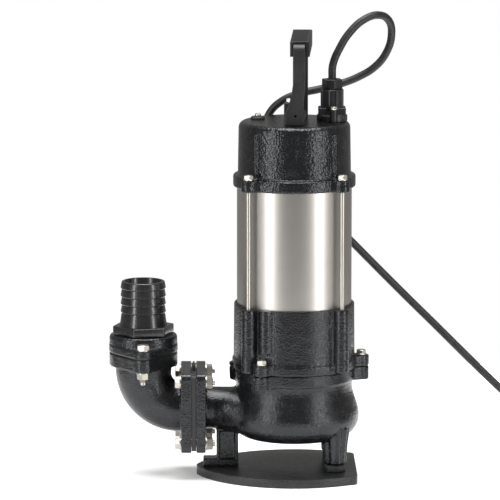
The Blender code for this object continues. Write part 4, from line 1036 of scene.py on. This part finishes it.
def make_gland():
    seat = CAP_TOP + GAP
    outer = [(0, 0.4520), (0.0118, 0.4520), (0.0126, 0.4513), (0.0128, 0.4500), (0.0128, 0.4225),
             (0.0170, 0.4222), (0.0177, 0.4215), (0.0177, seat), (0, seat)]
    body = turned("gland_moulding", outer, ROUND, at=(GLAND_X, 0, 0))
    join(body, block("gland_step", (GLAND_X - 0.0158, -0.0120, 0.4180), (GLAND_X + 0.0158, 0.0120, 0.4308),
                     0.0012))
    for i in range(8):
        foot = on_circle(0.0118, 22.5 + 45 * i) + Vector((GLAND_X, 0, 0.4290))
        join(body, rod("gland_rib_%d" % i, 0.0023, foot, foot + Vector((0, 0, 0.0225)), 16))
    for side, y in EARS:
        join(body, rod("gland_ear_" + side, 0.0039, (EAR_X, y, seat), (EAR_X, y, EAR_TOP), SMALL))
    cast(body, 0.0004, 3)
    stand_in(body, MOULDED, "plastic", "cable_gland")
    nut = rod("gland_hexnut", 0.0124, (GLAND_X, 0, 0.4523), (GLAND_X, 0, GLAND_TOP), 6, spin=math.radians(12))
    nut.data = rounded_mesh(nut, 0.0009)
    mouth = [(0, 0.4640), (0.0074, 0.4640), (0.0058, 0.4610), (0.0049, 0.4600), (0.0049, 0.4560), (0, 0.4560)]
    cut(nut, turned("nut_mouth", mouth, 40, at=(GLAND_X, 0, 0)))
    stand_in(nut, MOULDED, "plastic", "gland_nut")
    screw = bolt_mesh("gland_screw_steel", 0.0070, 0.0026, 0.0015, 0.0100, 0.0041, 0.0008)
    for side, y in EARS:
        copy_of(screw, "gland_bolt_" + side, "gland_screw_" + side, (EAR_X, y, EAR_TOP + GAP))
    plug = [(0, 0.4205), (0.0020, 0.4205), (0.0026, 0.4198), (0.0026, 0.4184), (0.0070, 0.4180),
            (0.0080, 0.4173), (0.0084, 0.4165), (0.0084, seat), (0, seat)]
    stand_in(turned("test_stopper", plug, 48, at=TEST_PLUG), RUBBER, "rubber", "test_plug")
    button = [(0, 0.4214), (0.0022, 0.4214), (0.0034, 0.4206), (0.0036, 0.4190), (0, 0.4190)]
    stopper = turned("stopper_screw", button, 32, at=TEST_PLUG)
    cut(stopper, block("stopper_slot", (-0.0460, 0.0154, 0.4208), (-0.0380, 0.0166, 0.4230)))
    stand_in(stopper, BOLT_STEEL, "fastener")


# ---- supply cord --------------------------------------------------------------------------------
CORD_ROUTE = [
    (0.0433, 0.0000, 0.4640), (0.0440, 0.0006, 0.4790), (0.0520, 0.0032, 0.4985), (0.0650, 0.0085, 0.5175),
    (0.0810, 0.0155, 0.5305), (0.0975, 0.0260, 0.5342), (0.1098, 0.0390, 0.5265), (0.1137, 0.0515, 0.5080),
    (0.1082, 0.0620, 0.4862), (0.0955, 0.0685, 0.4690), (0.0760, 0.0708, 0.4566), (0.0530, 0.0700, 0.4480),
    (0.0290, 0.0665, 0.4425), (0.0060, 0.0635, 0.4378), (-0.0140, 0.0635, 0.4290),
    (-0.0277, 0.0675, 0.4145), (-0.0325, 0.0740, 0.3960), (-0.0300, 0.0800, 0.3770),
    (-0.0210, 0.0845, 0.3580), (-0.0050, 0.0880, 0.3370), (0.0170, 0.0900, 0.3120),
    (0.0430, 0.0920, 0.2855), (0.0720, 0.0945, 0.2560), (0.1030, 0.0975, 0.2240), (0.1350, 0.0990, 0.1915),
    (0.1690, 0.0975, 0.1580), (0.2020, 0.0930, 0.1255), (0.2320, 0.0875, 0.0965), (0.2570, 0.0825, 0.0735),
    (0.2770, 0.0785, 0.0565), (0.2950, 0.0760, 0.0440), (0.3125, 0.0752, 0.0375),
]
TAIL_ROUTE = [(TAIL_X, 0.0300, 0.0050), (TAIL_X, 0.0480, 0.0058), (TAIL_X, 0.0640, 0.0100),
              (TAIL_X, 0.0770, 0.0124), (TAIL_X, PLUG_Y - GAP, 0.0125)]
COIL_TURNS = 14.75
COIL_LAYERS = 4
COIL_PITCH = 0.0092
COIL_TOP_Z = 0.0324
COIL_OUT = 0.0702
POINTS_A_TURN = 20


def coil_points():
    """The turns of the coil from the top layer down, winding clockwise from the back of the ring."""
    per_layer = COIL_TURNS / COIL_LAYERS
    inner = COIL_OUT - COIL_PITCH * per_layer
    count = round(COIL_TURNS * POINTS_A_TURN)
    points = []
    for i in range(count + 1):
        turn = COIL_TURNS * i / count
        layer = min(int(turn / per_layer), COIL_LAYERS - 1)
        share = turn / per_layer - layer
        inward = layer % 2 == 0
        radius = COIL_OUT - (COIL_OUT - inner) * (share if inward else 1 - share)
        drop = max(0.0, 1 - (turn - layer * per_layer) / 0.12) if layer else 0.0
        height = COIL_TOP_Z - COIL_PITCH * (layer - drop)
        angle = math.pi / 2 - math.tau * turn
        points.append((COIL_CENTRE[0] + radius * math.cos(angle),
                       COIL_CENTRE[1] + radius * math.sin(angle), height))
    return points


def make_cord():
    points = CORD_ROUTE + [(0.3310, 0.0752, 0.0334)] + coil_points()
    points += [(TAIL_X, 0.0180, 0.0048), *TAIL_ROUTE]
    curve = bpy.data.curves.new("supply_cord", "CURVE")
    curve.dimensions = "3D"
    curve.bevel_depth = CORD_R
    curve.bevel_resolution = 6
    curve.resolution_u = 5
    curve.use_fill_caps = True
    spline = curve.splines.new("BEZIER")
    spline.bezier_points.add(len(points) - 1)
    for knot, place in zip(spline.bezier_points, points):
        knot.co = place
        knot.handle_left_type = "AUTO"
        knot.handle_right_type = "AUTO"
    cord = bpy.data.objects.new("supply_cord", curve)
    curve.materials.append(CORD)
    WORK.objects.link(cord)
    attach(cord, "root")
    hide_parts("power_cord", "cord_coil")

    plug = make_plug()
    ties = make_ties()


def make_plug():
    """A moulded two-blade plug with a ribbed strain relief."""
    y = PLUG_Y
    relief = [(0, 0.0300), (0.0085, 0.0300), (0.0084, 0.0270)]
    for i in range(6):
        top = 0.0255 - i * 0.0041
        radius = 0.0082 - i * 0.0004
        relief += [(radius, top), (radius, top - 0.0024), (radius - 0.0011, top - 0.0028),
                   (radius - 0.0011, top - 0.0038)]
    relief += [(0.0056, 0), (0, 0)]
    plug = turned("mains_plug", relief, 40, at=(TAIL_X, y, 0.0125), turn=(-math.pi / 2, 0, 0))
    shell = block("plug_shell", (TAIL_X - 0.0120, y + 0.0280, 0.0010),
                  (TAIL_X + 0.0120, y + 0.0580, 0.0240), 0.0035, 4)
    for i in range(4):
        low = y + 0.0335 + i * 0.0048
        for side in (-1, 1):
            x = TAIL_X + side * 0.0123
            cut(shell, block("plug_groove_%d_%d" % (i, side), (x - 0.0010, low, 0.0050),
                             (x + 0.0010, low + 0.0022, 0.0200)))
    join(plug, shell)
    stand_in(plug, MOULDED, "plastic", "cord_plug")
    for side in (-1, 1):
        x = TAIL_X + side * 0.0064
        blade = block("plug_prong_%d" % (side + 1), (x - 0.0008, y + 0.0570, 0.0094),
                      (x + 0.0008, y + 0.0750, 0.0156), 0.0003, 2)
        cut(blade, rod("prong_hole", 0.0016, (x - 0.003, y + 0.0690, 0.0125),
                       (x + 0.003, y + 0.0690, 0.0125), 20))
        stand_in(blade, BRASS, "plastic")
        blade.parent = plug
    return plug


def make_ties():
    """Three flat ties round the coil's section."""
    ties = []
    low = 0.00012
    high = COIL_HEIGHT + 0.0003
    half_width = (COIL_OUTER - COIL_INNER) / 2
    half_height = (high - low) / 2
    centre = ((COIL_OUTER + COIL_INNER) / 2, (high + low) / 2)
    middle = Matrix.Translation((*COIL_CENTRE, 0))
    for i, angle in enumerate((25, 145, 265)):
        outline = rounded(half_width + 0.0006, half_height, 0.0045, centre)
        hole = rounded(half_width + 0.0001, half_height - 0.00011, 0.0042, centre)
        tie = flat("coil_tie_%d" % (i + 1), outline, -0.0024, 0.0024, "Y")
        cut(tie, flat("tie_hole_%d" % i, hole, -0.0050, 0.0050, "Y"))
        applied(tie, MOULDED)
        tie.data.transform(middle @ Matrix.Rotation(math.radians(angle), 4, "Z"))
        ties.append(fixed(tie, "plastic"))
    return ties


# ---- carried-over nodes -------------------------------------------------------------------------
def paint_nodes():
    """Materials for the CAD nodes that stay as they are, mostly inside the pump."""
    kept = {
        CASTING: ("seal_cover", "impeller", "bearing_bracket"),
        GROUND_STEEL: ("motor_shaft", "lower_bearing_inner", "lower_bearing_outer", "upper_bearing_inner",
                       "upper_bearing_outer", "seal_rotating_ring"),
        BOLT_STEEL: ("impeller_nut", "valve_weight"),
        RUBBER: ("valve_flap",),
        LAMINATED: ("rotor_core", "stator_core"),
        COPPER: ("lower_winding", "upper_winding"),
        MOULDED: ("run_capacitor",),
        CERAMIC: ("seal_seat",),
    }
    for material, names in kept.items():
        for name in names:
            mesh = NODES[name].data
            mesh.materials.clear()
            mesh.materials.append(material)
            mesh.shade_smooth()
            mesh.set_sharp_from_angle(angle=math.radians(35))


make_camera()
make_cord()
make_studio()
make_stand()
make_casing()
make_valve()
make_elbow()
make_barb()
make_fasteners()
make_housing()
make_motor()
make_handle()
make_gland()
paint_nodes()
